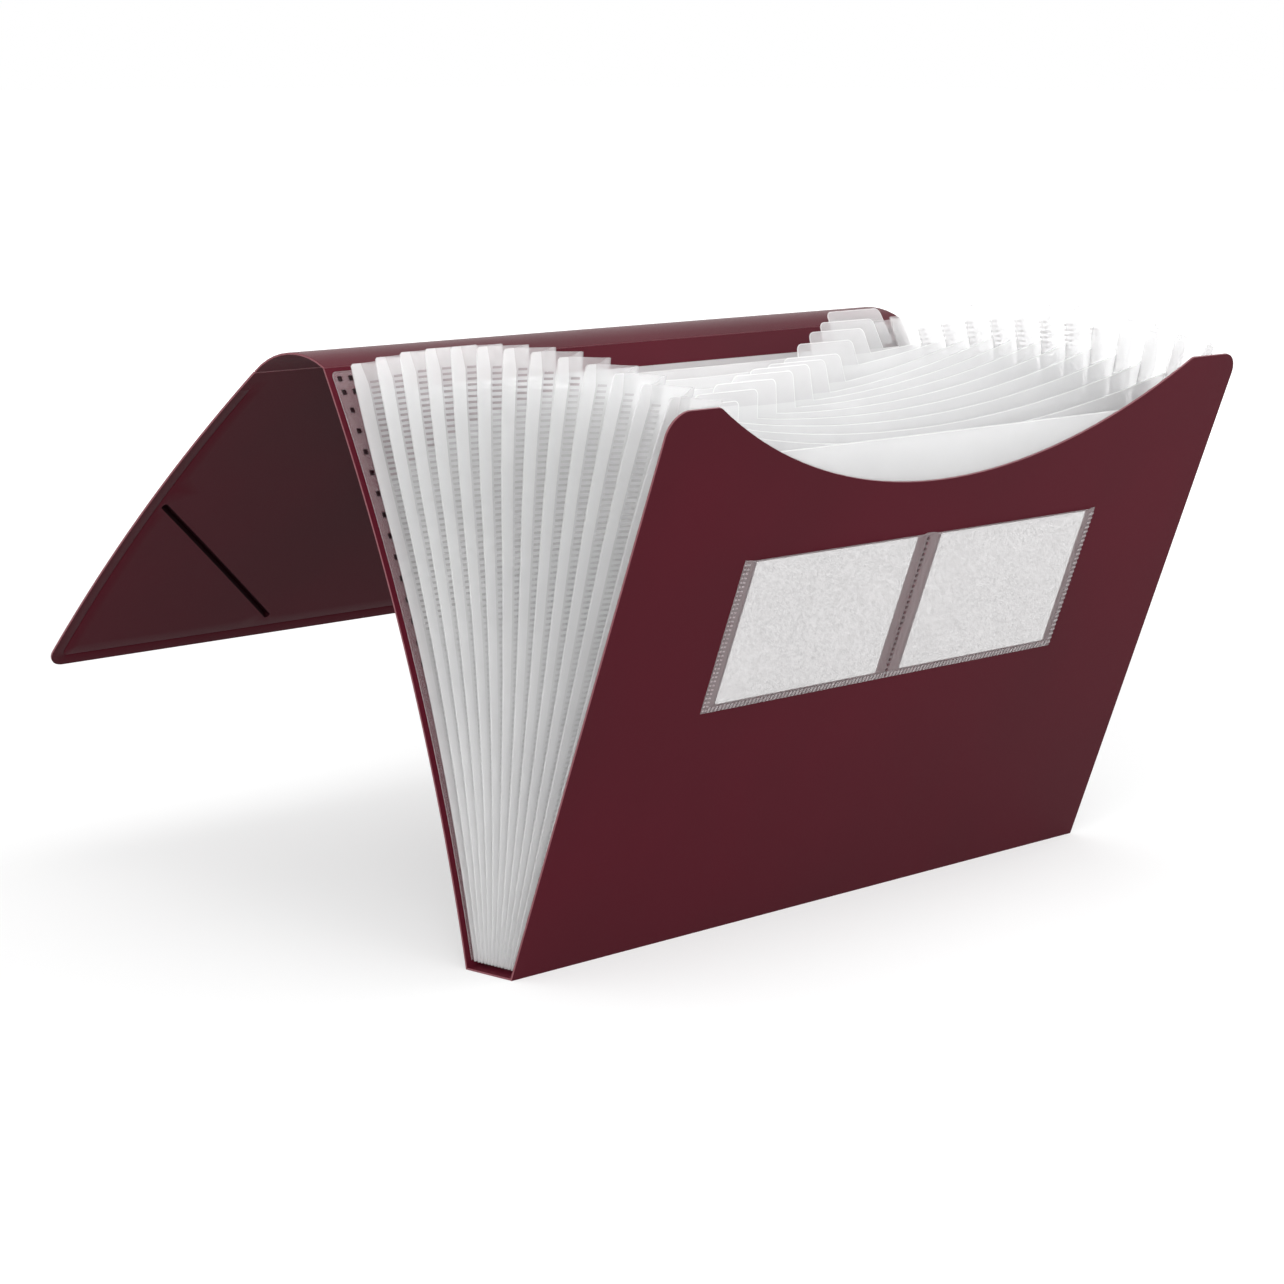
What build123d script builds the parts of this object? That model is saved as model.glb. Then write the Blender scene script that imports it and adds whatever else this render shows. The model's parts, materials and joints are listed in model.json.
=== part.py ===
"""Accordion file standing open, with its flap thrown back.

A creased cover holds a fan of film pockets, and a film pocket on the front panel holds two label cards.
Lengths are millimetres and angles degrees. X runs along the file's width, Y towards the back and Z up.
The origin is the middle of the bottom spine's underside.
"""

from build123d import *
import os
from math import atan2, cos, degrees, hypot, radians, sin, sqrt

# Cover: one creased sheet
COVER_WIDTH = 330.0
COVER_THICKNESS = 0.8
CREASE_CLEARANCE = 0.3
SPINE_DEPTH = 22.7
FRONT_HEIGHT = 220.0
FRONT_LEAN = -20.5
FRONT_CORNER_RADIUS = 9.0
NOTCH_DEPTH = 39.5
NOTCH_CORNER_RADIUS = 4.0
LEFT_HORN = 24.0
RIGHT_HORN = 31.0
BACK_HEIGHT = 222.6
BACK_LEAN = 18.9
BACK_BOW = 7.5
TOP_SPINE_DEPTH = 38.5
TOP_SPINE_LEAN = 96.1
TOP_SPINE_BOW = 6.0
FLAP_LENGTH = 182.2
FLAP_LEAN = 133.6
FLAP_BOW = 4.5
FLAP_CORNER_RADIUS = 9.0

# Corner slits of the flap: distances from the side edge and from the upper crease to each slit's ends
SLIT_WIDTH = 2.6
SLIT_OUTER_INSET = 8.0
SLIT_OUTER_DROP = 82.0
SLIT_INNER_INSET = 111.0
SLIT_INNER_DROP = 169.0

# Film insert: insets from the cover's side edges, and drops from the tops of its panels
POCKETS = 13
FILM = 0.35
PANEL_CLEARANCE = 0.1
FOLD_RADIUS = 0.4
FOLD_CLEARANCE = 0.3
BASE_STRIP_INSET = 1.35
DIVIDER_INSET = 23.0
DIVIDER_SIDE_DROP = 15.1
END_SHEET_START = 2.5
FLANGE_INSET = 5.0
FLANGE_CORNER_RADIUS = 6.0
BACK_SHEET_DROP = 10.6
BACK_EAR_WIDTH = 15.0
BACK_EAR_DROP = 2.1
FRONT_SHEET_DROP = 28.5

# Tabs, stepping across the width from the back sheet to the front
TABBED_SHEETS = 11
TAB_WIDTH = 34.0
TAB_RISE = 13.0
TAB_SLANT = 6.0
TAB_CORNER_RADIUS = 3.0
FIRST_TAB_INSET = 13.0
LAST_TAB_INSET = 46.0
BACK_TAB_DROP = 1.3
SECOND_TAB_DROP = 3.1
TAB_TOP_STEP = 5.0
LOWEST_TAB_DROP = 18.1

# Side pleats
RIDGE_INSET = 8.5
PLEAT_LAP = 2.0
PLEAT_FILM = 0.3
PLEAT_CLEARANCE = 0.25
PLEAT_START = 4.0
PLEAT_DROP = 2.1
PLEAT_SECTIONS = 10

# Spot welds that hold the back sheet's flange to the back panel
WELD_SIZE = 1.5
WELD_HEIGHT = 0.3
WELD_SEAT = 0.02
WELD_INSET = 5.5
WELD_PITCH = 8.0
WELD_START = 12.0
WELD_CLUSTER_DROP = 8.0
WELD_CLUSTER_PITCH = 4.3

# Label pocket and its cards
LABEL_CENTRE = -2.2
LABEL_BOTTOM = 98.0
LABEL_SIDE_WELD = 6.0
LABEL_BOTTOM_WELD = 3.0
LABEL_MIDDLE_WELD = 13.6
LABEL_FILM = 0.25
CARD_WIDTH = 89.0
CARD_HEIGHT = 56.5
CARD_THICKNESS = 0.3
CARD_SIDE_CLEARANCE = 0.3
CARD_FACE_CLEARANCE = 0.3
CARD_TOP_INSET = 1.0

# Sizes worked out from those above
HALF_WIDTH = COVER_WIDTH / 2
NOTCH_LEFT = LEFT_HORN - HALF_WIDTH
NOTCH_RIGHT = HALF_WIDTH - RIGHT_HORN
FLANGE_WIDTH = COVER_WIDTH - 2 * FLANGE_INSET
DIVIDER_WIDTH = COVER_WIDTH - 2 * DIVIDER_INSET
DIVIDER_SIDE_HEIGHT = BACK_HEIGHT - DIVIDER_SIDE_DROP
BACK_SHEET_HEIGHT = BACK_HEIGHT - BACK_SHEET_DROP
BACK_EAR_HEIGHT = BACK_HEIGHT - BACK_EAR_DROP
FRONT_SHEET_HEIGHT = FRONT_HEIGHT - FRONT_SHEET_DROP
FIRST_TAB = HALF_WIDTH - FIRST_TAB_INSET - TAB_WIDTH
TAB_PITCH = (FIRST_TAB + HALF_WIDTH - LAST_TAB_INSET) / (TABBED_SHEETS - 1)
BACK_TAB_TOP = BACK_HEIGHT - BACK_TAB_DROP
SECOND_TAB_TOP = BACK_HEIGHT - SECOND_TAB_DROP
LOWEST_TAB_TOP = BACK_HEIGHT - LOWEST_TAB_DROP
RIDGE_WIDTH = COVER_WIDTH - 2 * RIDGE_INSET
PLEAT_VALLEY_WIDTH = DIVIDER_WIDTH - 2 * PLEAT_LAP
PLEAT_TOP = BACK_HEIGHT - PLEAT_DROP
WELD_CLUSTER_START = BACK_EAR_HEIGHT - WELD_CLUSTER_DROP
WELDS_PER_COLUMN = int((WELD_CLUSTER_START - WELD_CLUSTER_DROP - WELD_START) / WELD_PITCH) + 1
CREASE_RADIUS = COVER_THICKNESS / 2
CREASE_STOP = CREASE_RADIUS + CREASE_CLEARANCE
END_SHEET_OFFSET = COVER_THICKNESS / 2 + PANEL_CLEARANCE + FILM / 2
FOLD_HEIGHT = COVER_THICKNESS + FILM + FOLD_CLEARANCE + FOLD_RADIUS
FOLD_RISE = FOLD_HEIGHT - CREASE_RADIUS
FAN_DEPTH = SPINE_DEPTH - 2 * END_SHEET_OFFSET
OUTLINE_REACH = 2 * (BACK_BOW + COVER_THICKNESS)
LABEL_STANDOFF = CARD_THICKNESS + 2 * CARD_FACE_CLEARANCE
CELL_WIDTH = CARD_WIDTH + 2 * CARD_SIDE_CLEARANCE
CELL_HEIGHT = CARD_HEIGHT + CARD_SIDE_CLEARANCE + CARD_TOP_INSET
LABEL_WIDTH = 2 * CELL_WIDTH + 2 * LABEL_SIDE_WELD + LABEL_MIDDLE_WELD
LABEL_HEIGHT = LABEL_BOTTOM_WELD + CELL_HEIGHT
CELL_SHIFT = (CELL_WIDTH + LABEL_MIDDLE_WELD) / 2
CELL_BOTTOM = LABEL_BOTTOM + LABEL_BOTTOM_WELD


def sheet_plane(fold, lean):
    """Plane of a sheet on its fold line: x along the width, y up the sheet, z square to it."""
    tilt = radians(lean)
    return Plane(origin=fold, x_dir=(1, 0, 0), z_dir=(0, -cos(tilt), sin(tilt)))


def bow_at(height, chord, bow):
    """Distance of a bowed sheet from its chord, at a height along that chord."""
    if bow == 0:
        return 0.0
    radius = (chord**2 / 4 + bow**2) / (2 * bow)
    return sqrt(radius**2 - (height - chord / 2) ** 2) - radius + bow


def bent_sheet(plane, width, chord, bow, thickness, start, end):
    """Adds a sheet that follows the arc over a chord between two heights."""
    points = [(height, bow_at(height, chord, bow)) for height in (start, (start + end) / 2, end)]
    with BuildSketch(Plane(origin=plane.origin, x_dir=plane.y_dir, z_dir=plane.x_dir)) as profile:
        with BuildLine():
            if bow == 0:
                Line(points[0], points[-1])
            else:
                ThreePointArc(*points)
        trace(line_width=thickness)
    extrude(profile.sketch, amount=width / 2, both=True)


def fold_bead(plane, width, radius):
    """Adds the rounded edge of a sheet, on its fold line."""
    with BuildSketch(Plane(origin=plane.origin, x_dir=plane.y_dir, z_dir=plane.x_dir)) as edge:
        Circle(radius)
    extrude(edge.sketch, amount=width / 2, both=True)


def trim_to_outline():
    """Keeps what lies within the outline that was sketched last."""
    extrude(amount=OUTLINE_REACH, both=True, mode=Mode.INTERSECT)


def tab_outline(left, top):
    """Sketches an index tab with slanted sides and rounded upper corners."""
    right = left + TAB_WIDTH
    foot = top - 2 * TAB_RISE
    slant = 2 * TAB_SLANT
    with BuildLine() as sides:
        Polyline((left - slant, foot), (left, top), (right, top), (right + slant, foot), close=True)
    make_face(sides.edges())
    fillet(vertices().group_by(Axis.Y)[-1], TAB_CORNER_RADIUS)


def dipped_outline(width, bottom, side, middle):
    """Sketches a divider, whose upper edge dips in an arc towards the middle."""
    half = width / 2
    with BuildLine() as edges:
        Polyline((-half, side), (-half, bottom), (half, bottom), (half, side))
        ThreePointArc((half, side), (0, middle), (-half, side))
    make_face(edges.edges())


def save(piece, name):
    """Labels a finished piece and writes it under its own name."""
    piece.part.label = name
    export_step(piece.part, f"parts/{name}.step")


os.makedirs("parts", exist_ok=True)

# Fold lines of the cover, from the bottom up and over the back
front_plane = sheet_plane((0, -SPINE_DEPTH / 2, CREASE_RADIUS), FRONT_LEAN)
back_plane = sheet_plane((0, SPINE_DEPTH / 2, CREASE_RADIUS), BACK_LEAN)
upper_crease = back_plane.from_local_coords(Vector(0, BACK_HEIGHT, 0))
top_plane = sheet_plane(upper_crease, TOP_SPINE_LEAN)
flap_crease = top_plane.from_local_coords(Vector(0, TOP_SPINE_DEPTH, 0))
flap_plane = sheet_plane(flap_crease, FLAP_LEAN)

# Cover: bottom spine
with BuildPart() as bottom_spine:
    Box(
        COVER_WIDTH,
        SPINE_DEPTH - 2 * CREASE_STOP,
        COVER_THICKNESS,
        align=(Align.CENTER, Align.CENTER, Align.MIN),
    )
save(bottom_spine, "bottom_spine")

# Cover: front panel with its thumb notch
with BuildPart() as front_panel:
    bent_sheet(front_plane, COVER_WIDTH, FRONT_HEIGHT, 0, COVER_THICKNESS, 0, FRONT_HEIGHT)
    fold_bead(front_plane, COVER_WIDTH, CREASE_RADIUS)
    with BuildSketch(front_plane):
        with BuildLine():
            Polyline(
                (NOTCH_LEFT, FRONT_HEIGHT),
                (-HALF_WIDTH, FRONT_HEIGHT),
                (-HALF_WIDTH, -COVER_THICKNESS),
                (HALF_WIDTH, -COVER_THICKNESS),
                (HALF_WIDTH, FRONT_HEIGHT),
                (NOTCH_RIGHT, FRONT_HEIGHT),
            )
            ThreePointArc(
                (NOTCH_RIGHT, FRONT_HEIGHT),
                ((NOTCH_LEFT + NOTCH_RIGHT) / 2, FRONT_HEIGHT - NOTCH_DEPTH),
                (NOTCH_LEFT, FRONT_HEIGHT),
            )
        make_face()
        upper_corners = vertices().group_by(Axis.Y)[-1].sort_by(Axis.X)
        fillet([upper_corners[0], upper_corners[-1]], FRONT_CORNER_RADIUS)
        horn_ends = vertices().group_by(Axis.Y)[-1].sort_by(Axis.X)
        fillet(horn_ends[1:-1], NOTCH_CORNER_RADIUS)
    trim_to_outline()
save(front_panel, "front_panel")

# Cover: back panel, bowed towards the pockets
with BuildPart() as back_panel:
    back_end = BACK_HEIGHT - CREASE_STOP
    bent_sheet(back_plane, COVER_WIDTH, BACK_HEIGHT, BACK_BOW, COVER_THICKNESS, 0, back_end)
    fold_bead(back_plane, COVER_WIDTH, CREASE_RADIUS)
save(back_panel, "back_panel")

# Cover: top spine, arched over the back
with BuildPart() as top_spine:
    top_end = TOP_SPINE_DEPTH - CREASE_STOP
    bent_sheet(top_plane, COVER_WIDTH, TOP_SPINE_DEPTH, TOP_SPINE_BOW, COVER_THICKNESS, 0, top_end)
    fold_bead(top_plane, COVER_WIDTH, CREASE_RADIUS)
save(top_spine, "top_spine")

# Cover: flap with a slit across each free corner
slit_run = SLIT_INNER_INSET - SLIT_OUTER_INSET
slit_drop = SLIT_INNER_DROP - SLIT_OUTER_DROP
slit_x = HALF_WIDTH - (SLIT_OUTER_INSET + SLIT_INNER_INSET) / 2
slit_y = (SLIT_OUTER_DROP + SLIT_INNER_DROP) / 2
slit_angle = degrees(atan2(slit_drop, slit_run))
with BuildPart() as flap:
    bent_sheet(flap_plane, COVER_WIDTH, FLAP_LENGTH, FLAP_BOW, COVER_THICKNESS, 0, FLAP_LENGTH)
    fold_bead(flap_plane, COVER_WIDTH, CREASE_RADIUS)
    with BuildSketch(flap_plane):
        with Locations((0, (FLAP_LENGTH - COVER_THICKNESS) / 2)):
            Rectangle(COVER_WIDTH, FLAP_LENGTH + COVER_THICKNESS)
        fillet(vertices().group_by(Axis.Y)[-1], FLAP_CORNER_RADIUS)
        for side in (-1, 1):
            with Locations((side * slit_x, slit_y)):
                SlotOverall(
                    hypot(slit_run, slit_drop),
                    SLIT_WIDTH,
                    rotation=-side * slit_angle,
                    mode=Mode.SUBTRACT,
                )
    trim_to_outline()
save(flap, "flap")


# Film insert
def fan_lean(number):
    """Lean of a sheet of the insert, counted from 0 at the back to POCKETS at the front."""
    return BACK_LEAN + (FRONT_LEAN - BACK_LEAN) * number / POCKETS


def fan_bow(number):
    """Bow of a sheet of the insert: the back sheet follows the back panel, the front one is flat."""
    return BACK_BOW * (1 - number / POCKETS)


def fan_plane(number):
    """Plane of a sheet of the insert. The end sheets turn on the cover's creases, below the folds."""
    if number == 0:
        return back_sheet_plane
    if number == POCKETS:
        return front_sheet_plane
    fold_y = FAN_DEPTH / 2 - FAN_DEPTH * number / POCKETS
    return sheet_plane((0, fold_y, FOLD_HEIGHT), fan_lean(number))


def film_point(number, height):
    """Point in the middle of the width on a sheet of the insert, at a height above the folds."""
    along = height + FOLD_RISE if number in (0, POCKETS) else height
    bow = bow_at(along, BACK_HEIGHT, fan_bow(number))
    return fan_plane(number).from_local_coords(Vector(0, along, bow))


def tab_top(number):
    """Height of an index tab: the tabs step down from the back to a common level."""
    if number == 0:
        return BACK_TAB_TOP
    return max(LOWEST_TAB_TOP, SECOND_TAB_TOP - TAB_TOP_STEP * (number - 1))


back_sheet_plane = back_plane.offset(END_SHEET_OFFSET)
front_sheet_plane = front_plane.offset(-END_SHEET_OFFSET)

# Film strip under the dividers' folds
with BuildPart() as pocket_base:
    with Locations((0, 0, COVER_THICKNESS)):
        Box(
            DIVIDER_WIDTH,
            SPINE_DEPTH - 2 * BASE_STRIP_INSET,
            FILM,
            align=(Align.CENTER, Align.CENTER, Align.MIN),
        )
save(pocket_base, "pocket_base")

# Back sheet, with an ear at each side and the first tab
with BuildPart() as pocket_back_sheet:
    bent_sheet(
        back_sheet_plane, FLANGE_WIDTH, BACK_HEIGHT, BACK_BOW, FILM, END_SHEET_START, BACK_TAB_TOP
    )
    with BuildSketch(back_sheet_plane):
        tab_outline(FIRST_TAB, BACK_TAB_TOP)
        for side in (-1, 1):
            with Locations((side * (FLANGE_WIDTH - BACK_EAR_WIDTH) / 2, BACK_EAR_HEIGHT / 2)):
                RectangleRounded(BACK_EAR_WIDTH, BACK_EAR_HEIGHT, FLANGE_CORNER_RADIUS)
        with Locations((0, BACK_SHEET_HEIGHT / 2)):
            Rectangle(FLANGE_WIDTH, BACK_SHEET_HEIGHT)
    trim_to_outline()
save(pocket_back_sheet, "pocket_back_sheet")

# Dividers
for number in range(1, POCKETS):
    plane = fan_plane(number)
    top = tab_top(number)
    with BuildPart() as divider:
        bent_sheet(
            plane, DIVIDER_WIDTH, BACK_HEIGHT, fan_bow(number), FILM, 0, max(top, DIVIDER_SIDE_HEIGHT)
        )
        fold_bead(plane, DIVIDER_WIDTH, FOLD_RADIUS)
        with BuildSketch(plane):
            if number < TABBED_SHEETS:
                tab_outline(FIRST_TAB - TAB_PITCH * number, top)
            dipped_outline(DIVIDER_WIDTH, -FOLD_RADIUS, DIVIDER_SIDE_HEIGHT, top - TAB_RISE)
        trim_to_outline()
    save(divider, f"divider_{number}")

# Front sheet
with BuildPart() as pocket_front_sheet:
    bent_sheet(
        front_sheet_plane, FLANGE_WIDTH, FRONT_HEIGHT, 0, FILM, END_SHEET_START, FRONT_SHEET_HEIGHT
    )
    with BuildSketch(front_sheet_plane):
        with Locations((0, FRONT_SHEET_HEIGHT / 2)):
            Rectangle(FLANGE_WIDTH, FRONT_SHEET_HEIGHT)
        fillet(vertices().group_by(Axis.Y)[-1], FLANGE_CORNER_RADIUS)
    trim_to_outline()
save(pocket_front_sheet, "pocket_front_sheet")


def pleat_section(pocket, height):
    """Sketches a pleat's folded film across a pocket: two legs that meet at the outer ridge."""
    behind = film_point(pocket - 1, height)
    before = film_point(pocket, height)
    across = before - behind
    half = across.length / 2 - FILM / 2 - PLEAT_CLEARANCE
    ridge = RIDGE_WIDTH / 2
    valley = PLEAT_VALLEY_WIDTH / 2
    inner_ridge = ridge - (ridge - valley) * PLEAT_FILM / half
    upward = Vector(1, 0, 0).cross(across)
    with BuildSketch(Plane(origin=(behind + before) / 2, x_dir=(1, 0, 0), z_dir=upward)) as section:
        with BuildLine():
            Polyline(
                (valley, -half),
                (ridge, 0),
                (valley, half),
                (valley, half - PLEAT_FILM),
                (inner_ridge, 0),
                (valley, PLEAT_FILM - half),
                close=True,
            )
        make_face()
    return section.sketch


# Side pleats, one on each side of each pocket
pleat_heights = [
    PLEAT_START + (PLEAT_TOP - PLEAT_START) * step / (PLEAT_SECTIONS - 1) for step in range(PLEAT_SECTIONS)
]
for pocket in range(1, POCKETS + 1):
    with BuildPart() as right_pleat:
        loft([pleat_section(pocket, height) for height in pleat_heights], ruled=True)
    save(right_pleat, f"pleat_right_{pocket}")
    with BuildPart() as left_pleat:
        mirror(right_pleat.part, about=Plane.YZ)
    save(left_pleat, f"pleat_left_{pocket}")


def weld_place(x, height):
    """Place on the back sheet's front face, square to the bowed film."""
    bow = bow_at(height, BACK_HEIGHT, BACK_BOW)
    radius = (BACK_HEIGHT**2 / 4 + BACK_BOW**2) / (2 * BACK_BOW)
    lift = FILM / 2 + WELD_SEAT + WELD_HEIGHT / 2
    centre = Vector(0, BACK_HEIGHT / 2, BACK_BOW - radius)
    outward = (Vector(0, height, bow) - centre).normalized()
    origin = back_sheet_plane.from_local_coords(Vector(x, height, bow) + outward * lift)
    normal = back_sheet_plane.y_dir * outward.Y + back_sheet_plane.z_dir * outward.Z
    return Location(Plane(origin=origin, x_dir=(1, 0, 0), z_dir=normal))


# Spot welds on the back sheet's flange: a column and an upper cluster at each side
weld_places = []
for side in (-1, 1):
    outer_x = FLANGE_WIDTH / 2 - WELD_INSET + WELD_CLUSTER_PITCH / 2
    for row in range(WELDS_PER_COLUMN):
        weld_places.append(weld_place(side * (FLANGE_WIDTH / 2 - WELD_INSET), WELD_START + WELD_PITCH * row))
    for row in range(2):
        for column in range(2):
            x = outer_x - WELD_CLUSTER_PITCH * column
            weld_places.append(weld_place(side * x, WELD_CLUSTER_START + WELD_CLUSTER_PITCH * row))
with BuildPart() as back_spot_welds:
    with Locations(*weld_places):
        Box(WELD_SIZE, WELD_SIZE, WELD_HEIGHT)
save(back_spot_welds, "back_spot_welds")

# Label pocket: film welded to the front panel at its sides, bottom and middle, open at the top
face_plane = front_plane.offset(COVER_THICKNESS / 2)
with BuildPart() as label_pocket:
    with BuildSketch(face_plane):
        with Locations((LABEL_CENTRE, LABEL_BOTTOM + LABEL_HEIGHT / 2)):
            Rectangle(LABEL_WIDTH, LABEL_HEIGHT)
    extrude(amount=LABEL_STANDOFF + LABEL_FILM)
    with BuildSketch(face_plane):
        for side in (-1, 1):
            with Locations((LABEL_CENTRE + side * CELL_SHIFT, CELL_BOTTOM + CELL_HEIGHT / 2)):
                Rectangle(CELL_WIDTH, CELL_HEIGHT)
    extrude(amount=LABEL_STANDOFF, mode=Mode.SUBTRACT)
save(label_pocket, "label_pocket")

# Label cards
card_plane = face_plane.offset(CARD_FACE_CLEARANCE)
for name, side in (("card_left", -1), ("card_right", 1)):
    with BuildPart() as card:
        with BuildSketch(card_plane):
            card_y = CELL_BOTTOM + CARD_SIDE_CLEARANCE + CARD_HEIGHT / 2
            with Locations((LABEL_CENTRE + side * CELL_SHIFT, card_y)):
                Rectangle(CARD_WIDTH, CARD_HEIGHT)
        extrude(amount=CARD_THICKNESS)
    save(card, name)
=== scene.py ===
"""Accordion file standing open: creased sheet cover, frosted film pockets, welded seams and label cards.

Lengths are metres and angles radians, in the frame of the solids: X along the width, Y to the back, Z up.
"""

import json
from collections import namedtuple
from math import acos, atan2, ceil, cos, hypot, pi, radians, sin, sqrt, tan

import bmesh
import bpy
from bpy.props import FloatProperty, FloatVectorProperty, IntProperty, PointerProperty
from mathutils import Vector
from mathutils.geometry import delaunay_2d_cdt
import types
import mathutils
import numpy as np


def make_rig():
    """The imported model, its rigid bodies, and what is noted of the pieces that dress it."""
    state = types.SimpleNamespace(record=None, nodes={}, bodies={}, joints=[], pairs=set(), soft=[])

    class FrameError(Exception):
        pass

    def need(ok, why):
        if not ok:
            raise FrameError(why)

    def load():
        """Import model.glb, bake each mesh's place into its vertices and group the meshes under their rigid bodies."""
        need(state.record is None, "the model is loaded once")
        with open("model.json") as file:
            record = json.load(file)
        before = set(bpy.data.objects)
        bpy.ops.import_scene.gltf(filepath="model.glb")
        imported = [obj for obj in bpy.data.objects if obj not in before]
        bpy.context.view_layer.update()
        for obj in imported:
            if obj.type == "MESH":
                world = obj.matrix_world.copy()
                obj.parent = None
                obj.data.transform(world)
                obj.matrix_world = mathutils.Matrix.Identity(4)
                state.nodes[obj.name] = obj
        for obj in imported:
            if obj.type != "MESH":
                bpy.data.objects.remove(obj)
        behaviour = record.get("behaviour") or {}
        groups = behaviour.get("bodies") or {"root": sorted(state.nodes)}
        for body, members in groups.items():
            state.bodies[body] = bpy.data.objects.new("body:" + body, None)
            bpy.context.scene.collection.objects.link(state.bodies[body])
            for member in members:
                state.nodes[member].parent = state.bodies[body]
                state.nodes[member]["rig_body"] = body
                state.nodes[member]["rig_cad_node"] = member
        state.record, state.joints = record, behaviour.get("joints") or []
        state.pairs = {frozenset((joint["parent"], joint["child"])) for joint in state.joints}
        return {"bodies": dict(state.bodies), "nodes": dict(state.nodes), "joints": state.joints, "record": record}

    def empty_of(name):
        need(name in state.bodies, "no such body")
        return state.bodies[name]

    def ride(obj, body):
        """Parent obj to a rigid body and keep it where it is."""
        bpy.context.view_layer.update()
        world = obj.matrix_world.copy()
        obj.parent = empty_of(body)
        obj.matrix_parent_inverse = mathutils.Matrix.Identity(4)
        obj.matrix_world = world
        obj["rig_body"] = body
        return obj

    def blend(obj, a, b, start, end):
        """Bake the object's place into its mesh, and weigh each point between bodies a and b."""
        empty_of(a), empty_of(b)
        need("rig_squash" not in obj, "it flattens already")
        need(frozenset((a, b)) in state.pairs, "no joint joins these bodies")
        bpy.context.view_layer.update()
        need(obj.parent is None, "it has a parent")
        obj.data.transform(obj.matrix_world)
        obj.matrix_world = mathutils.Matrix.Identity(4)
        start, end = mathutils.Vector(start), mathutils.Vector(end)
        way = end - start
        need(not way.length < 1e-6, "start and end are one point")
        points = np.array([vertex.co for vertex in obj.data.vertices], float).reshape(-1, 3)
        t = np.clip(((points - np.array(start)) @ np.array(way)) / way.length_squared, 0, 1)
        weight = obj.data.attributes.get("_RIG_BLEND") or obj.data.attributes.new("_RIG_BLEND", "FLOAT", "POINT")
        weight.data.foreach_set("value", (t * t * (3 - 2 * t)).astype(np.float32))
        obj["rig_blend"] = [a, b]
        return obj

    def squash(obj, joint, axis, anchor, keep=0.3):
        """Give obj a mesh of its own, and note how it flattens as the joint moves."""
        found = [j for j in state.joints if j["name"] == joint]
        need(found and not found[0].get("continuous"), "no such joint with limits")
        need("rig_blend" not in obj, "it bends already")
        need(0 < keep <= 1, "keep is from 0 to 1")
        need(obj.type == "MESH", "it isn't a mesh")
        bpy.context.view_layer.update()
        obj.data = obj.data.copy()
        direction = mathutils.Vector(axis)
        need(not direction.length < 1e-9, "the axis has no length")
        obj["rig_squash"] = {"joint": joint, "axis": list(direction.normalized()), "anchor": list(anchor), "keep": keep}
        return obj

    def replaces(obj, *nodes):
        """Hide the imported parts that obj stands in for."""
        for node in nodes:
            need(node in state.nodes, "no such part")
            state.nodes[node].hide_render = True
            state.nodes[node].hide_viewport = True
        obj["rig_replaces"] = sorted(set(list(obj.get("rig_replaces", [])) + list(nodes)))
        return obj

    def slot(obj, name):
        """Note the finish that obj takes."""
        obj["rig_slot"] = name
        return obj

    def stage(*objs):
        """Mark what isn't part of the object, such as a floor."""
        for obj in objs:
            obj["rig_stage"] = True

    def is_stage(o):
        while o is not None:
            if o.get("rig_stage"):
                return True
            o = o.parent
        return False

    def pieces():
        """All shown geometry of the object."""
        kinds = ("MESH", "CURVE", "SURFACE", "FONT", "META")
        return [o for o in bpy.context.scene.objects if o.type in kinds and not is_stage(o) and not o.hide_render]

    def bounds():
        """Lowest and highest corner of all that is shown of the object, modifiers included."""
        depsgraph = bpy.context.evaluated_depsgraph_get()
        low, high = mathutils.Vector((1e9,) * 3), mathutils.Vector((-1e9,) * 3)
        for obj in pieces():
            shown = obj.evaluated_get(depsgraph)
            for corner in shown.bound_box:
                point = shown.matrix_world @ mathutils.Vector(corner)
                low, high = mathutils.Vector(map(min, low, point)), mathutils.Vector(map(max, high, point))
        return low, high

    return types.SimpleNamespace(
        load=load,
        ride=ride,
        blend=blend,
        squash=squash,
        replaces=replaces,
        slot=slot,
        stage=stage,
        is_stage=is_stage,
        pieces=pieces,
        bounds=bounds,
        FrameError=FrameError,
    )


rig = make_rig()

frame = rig.load()
CAD_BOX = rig.bounds()

bl_info = {
    "name": "Accordion File",
    "version": (1, 0, 0),
    "blender": (4, 5, 0),
    "location": "View3D > Sidebar > Accordion File",
    "description": "Builds an open accordion file round its packed solids",
    "category": "Object",
}

MM = 0.001
JOINTS = {joint["name"]: joint for joint in frame["joints"]}
RATIOS = {pair["joint"]: pair["ratio"] for pair in frame["record"]["behaviour"]["couplings"]}
CLOSING_TURN = radians(JOINTS["front_fold"]["range_deg"][1])
POCKETS = sum(name.startswith("pleat_left") for name in frame["nodes"])
HALF_WIDTH = CAD_BOX[1].x

# Steps of a sheet's mesh, along its edge and over its field
Steps = namedtuple("Steps", "edge field")
BOTTOM_STEPS = Steps(10 * MM, 10 * MM)
ARCH_STEPS = Steps(4 * MM, 4 * MM)
PANEL_STEPS = Steps(8 * MM, 12 * MM)
FLAP_STEPS = Steps(6 * MM, 12 * MM)
FILM_STEPS = Steps(9 * MM, 18 * MM)
TAB_STEPS = Steps(1.5 * MM, 2 * MM)
CARD_STEPS = Steps(12 * MM, 14 * MM)

# Step along an arc, and the least radius of one
ARC_STEP = 0.8 * MM
LEAST_RADIUS = 0.5 * MM

# Limits of a mesh: room round fixed points as a share of a step, points taken as one, thinnest triangle
POINT_ROOM = 0.45
SAME_POINT = 1e-7
SLIVER = 0.01 * MM

# Rounded edges of thick sheets
ROUNDING_SEGMENTS = 2
SHARP_ANGLE = radians(50)

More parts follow.
